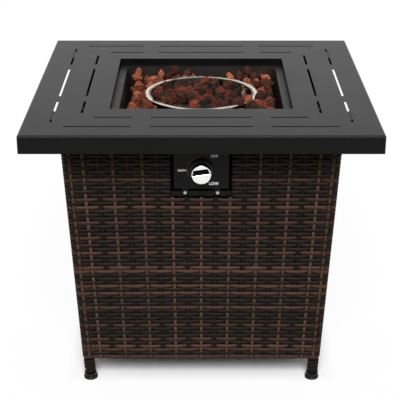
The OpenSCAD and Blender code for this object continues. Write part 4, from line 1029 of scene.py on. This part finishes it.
def cross_screw():
    """A round-headed screw with a cross recess, along z, its head's seat at zero."""
    bm = bmesh.new()
    corner = [(RECESS_ARM, RECESS_REACH), (RECESS_ARM, RECESS_ARM), (RECESS_REACH, RECESS_ARM)]
    outline = [Matrix.Rotation(math.radians(-90 * k), 2) @ Vector(p) for k in range(4) for p in corner]
    spots = [bm.verts.new((x, y, HEAD_H)) for x, y in outline]
    recess = [bm.edges.new((a, b)) for a, b in zip(spots, spots[1:] + spots[:1])]
    floor = grow_loop(bm, recess, RECESS_DRAW, -RECESS_DEEP)
    bmesh.ops.edgeloop_fill(bm, edges=floor)
    crown = bmesh.ops.create_circle(bm, segments=24, radius=CROWN_R * HEAD_R,
                                    matrix=Matrix.Translation((0, 0, CROWN_H * HEAD_H)))
    crown = list({e for v in crown["verts"] for e in v.link_edges})
    bmesh.ops.bridge_loops(bm, edges=recess + crown)
    brow = grow_loop(bm, crown, 1 / CROWN_R, (BROW_H - CROWN_H) * HEAD_H)
    seat = grow_loop(bm, brow, 1.0, -BROW_H * HEAD_H)
    neck = grow_loop(bm, seat, SHANK_R / HEAD_R, 0)
    tip = grow_loop(bm, neck, TIP_DRAW, -SHANK_LONG)
    bmesh.ops.edgeloop_fill(bm, edges=tip)
    bmesh.ops.recalc_face_normals(bm, faces=bm.faces)
    return take_mesh(bm, "panel_screw")


bm = bmesh.new()
for x, turn in zip((-SCREW_X, SCREW_X), SCREW_TURNS):
    screw = cross_screw()
    screw.transform(on_front(x, SCREW_DEPTH, SCREW_UP) @ STAND @ Matrix.Rotation(math.radians(turn), 4, "Z"))
    bm.from_mesh(screw)
    bpy.data.meshes.remove(screw)
piece("cross_screws", take_mesh(bm, "cross_screws"), "zinc_steel", "table", "panel_screws")


# Stage, light and camera

# Painted light on the paper, which lifts it towards white and wipes out the table's shadow: in front of the
# base, and from the middle outward
NEAR_LIFT, NEAR_FROM, NEAR_FULL = 0.9, -0.224, -0.264
OPEN_LIFT, OPEN_FROM, OPEN_FULL = 0.9, 0.255, 0.30
FLOOR_HALF = 12.0
# Light that the white studio throws back, from the front and from behind
FILL_FRONT, FILL_BEHIND = 0.2, 0.9
CAMERA_AT, CAMERA_DOWN = (-0.0027, -2.4908, 1.3545), 22.564
CAMERA_LENS, SENSOR_W = 106.17, 36.0


def white_floor():
    """White studio paper: grey to the light that it throws back, white to the eye, with painted light that
    lifts it towards white in front of the base and away from it.
    """
    made, tree, shader, place = material("white studio paper")
    path = add(tree, "LightPath")
    seen = add(tree, "Math", {0: path.outputs["Is Camera Ray"], 1: path.outputs["Is Glossy Ray"]},
               operation="MAXIMUM")
    paint = add(tree, "ValToRGB", {"Fac": seen.outputs["Value"]},
                [(0.0, "#8a8a8a"), (1.0, "#fcfcfc")])
    feed(tree, shader, {"Base Color": paint.outputs["Color"], "Roughness": 0.9, "Specular IOR Level": 0.0})
    glow = add(tree, "Emission", {"Color": linear("#ffffff"), "Strength": 1.0})
    spot = add(tree, "SeparateXYZ", {"Vector": place})
    near = add(tree, "MapRange", {
        "Value": spot.outputs["Y"], "From Min": NEAR_FROM, "From Max": NEAR_FULL, "To Max": NEAR_LIFT})
    across = add(tree, "Math", {0: spot.outputs["X"]}, operation="ABSOLUTE")
    along = add(tree, "Math", {0: spot.outputs["Y"]}, operation="ABSOLUTE")
    away = add(tree, "Math", {0: across.outputs["Value"], 1: along.outputs["Value"]},
               operation="MAXIMUM")
    clear = add(tree, "MapRange", {
        "Value": away.outputs["Value"], "From Min": OPEN_FROM, "From Max": OPEN_FULL, "To Max": OPEN_LIFT})
    # painted light, seen by the eye and in reflections only
    lift = add(tree, "Math", {0: near.outputs["Result"], 1: clear.outputs["Result"]},
               operation="MAXIMUM")
    lift = add(tree, "Math", {0: lift.outputs["Value"], 1: seen.outputs["Value"]},
               operation="MULTIPLY")
    mixed = add(tree, "MixShader", {
        0: lift.outputs["Value"], 1: shader.outputs["BSDF"], 2: glow.outputs["Emission"]})
    feed(tree, tree.nodes["Material Output"], {"Surface": mixed.outputs["Shader"]})
    return made


bm = bmesh.new()
bmesh.ops.create_grid(bm, x_segments=1, y_segments=1, size=FLOOR_HALF)
floor_mesh = take_mesh(bm, "studio_floor")
floor_mesh.materials.append(white_floor())
studio_floor = bpy.data.objects.new("studio_floor", floor_mesh)
scene.collection.objects.link(studio_floor)
studio_floor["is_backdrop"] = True

world = bpy.data.worlds.new("white studio")
scene.world = world
world.use_nodes = True
sky = world.node_tree
sky.nodes.clear()
path = add(sky, "LightPath")
seen = add(sky, "Math", {0: path.outputs["Is Camera Ray"], 1: path.outputs["Is Glossy Ray"]},
           operation="MAXIMUM")
seen = add(sky, "Math", {0: seen.outputs["Value"], 1: path.outputs["Is Transmission Ray"]},
           operation="MAXIMUM")
# the fill is stronger from behind, where no lamp stands
way = add(sky, "TexCoord").outputs["Generated"]
behind = add(sky, "SeparateXYZ", {"Vector": way}).outputs["Y"]
level = add(sky, "MapRange", {
    "Value": behind, "From Min": -0.1, "From Max": 0.9, "To Min": FILL_FRONT, "To Max": FILL_BEHIND})
fill = add(sky, "Background", {"Color": (1, 1, 1, 1), "Strength": level.outputs["Result"]})
white = add(sky, "Background", {"Color": (1, 1, 1, 1), "Strength": 1.0})
mixed = add(sky, "MixShader", {0: seen.outputs["Value"], 1: fill.outputs[0], 2: white.outputs[0]})
add(sky, "OutputWorld", {"Surface": mixed.outputs[0]})


def soft_sun(name, azimuth, height, spread, power):
    """A broad even light: azimuth from the front towards the right, height above the floor, in degrees."""
    lamp = bpy.data.lights.new(name, "SUN")
    lamp.angle, lamp.energy = math.radians(spread), power
    made = bpy.data.objects.new(name, lamp)
    turn, lift = math.radians(azimuth), math.radians(height)
    way = Vector((-math.sin(turn) * math.cos(lift), math.cos(turn) * math.cos(lift), -math.sin(lift)))
    made.rotation_euler = way.to_track_quat("-Z", "Y").to_euler()
    scene.collection.objects.link(made)


soft_sun("front_softbox", azimuth=0, height=44, spread=28, power=3.2)

camera = bpy.data.cameras.new("camera")
camera.lens, camera.sensor_width = CAMERA_LENS, SENSOR_W
viewer = bpy.data.objects.new("camera", camera)
viewer.location = CAMERA_AT
viewer.rotation_euler = (math.radians(90 - CAMERA_DOWN), 0, 0)
scene.collection.objects.link(viewer)
scene.camera = viewer

size = {"cad": [list(v) for v in cad_box], "visual": [list(v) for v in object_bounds()]}
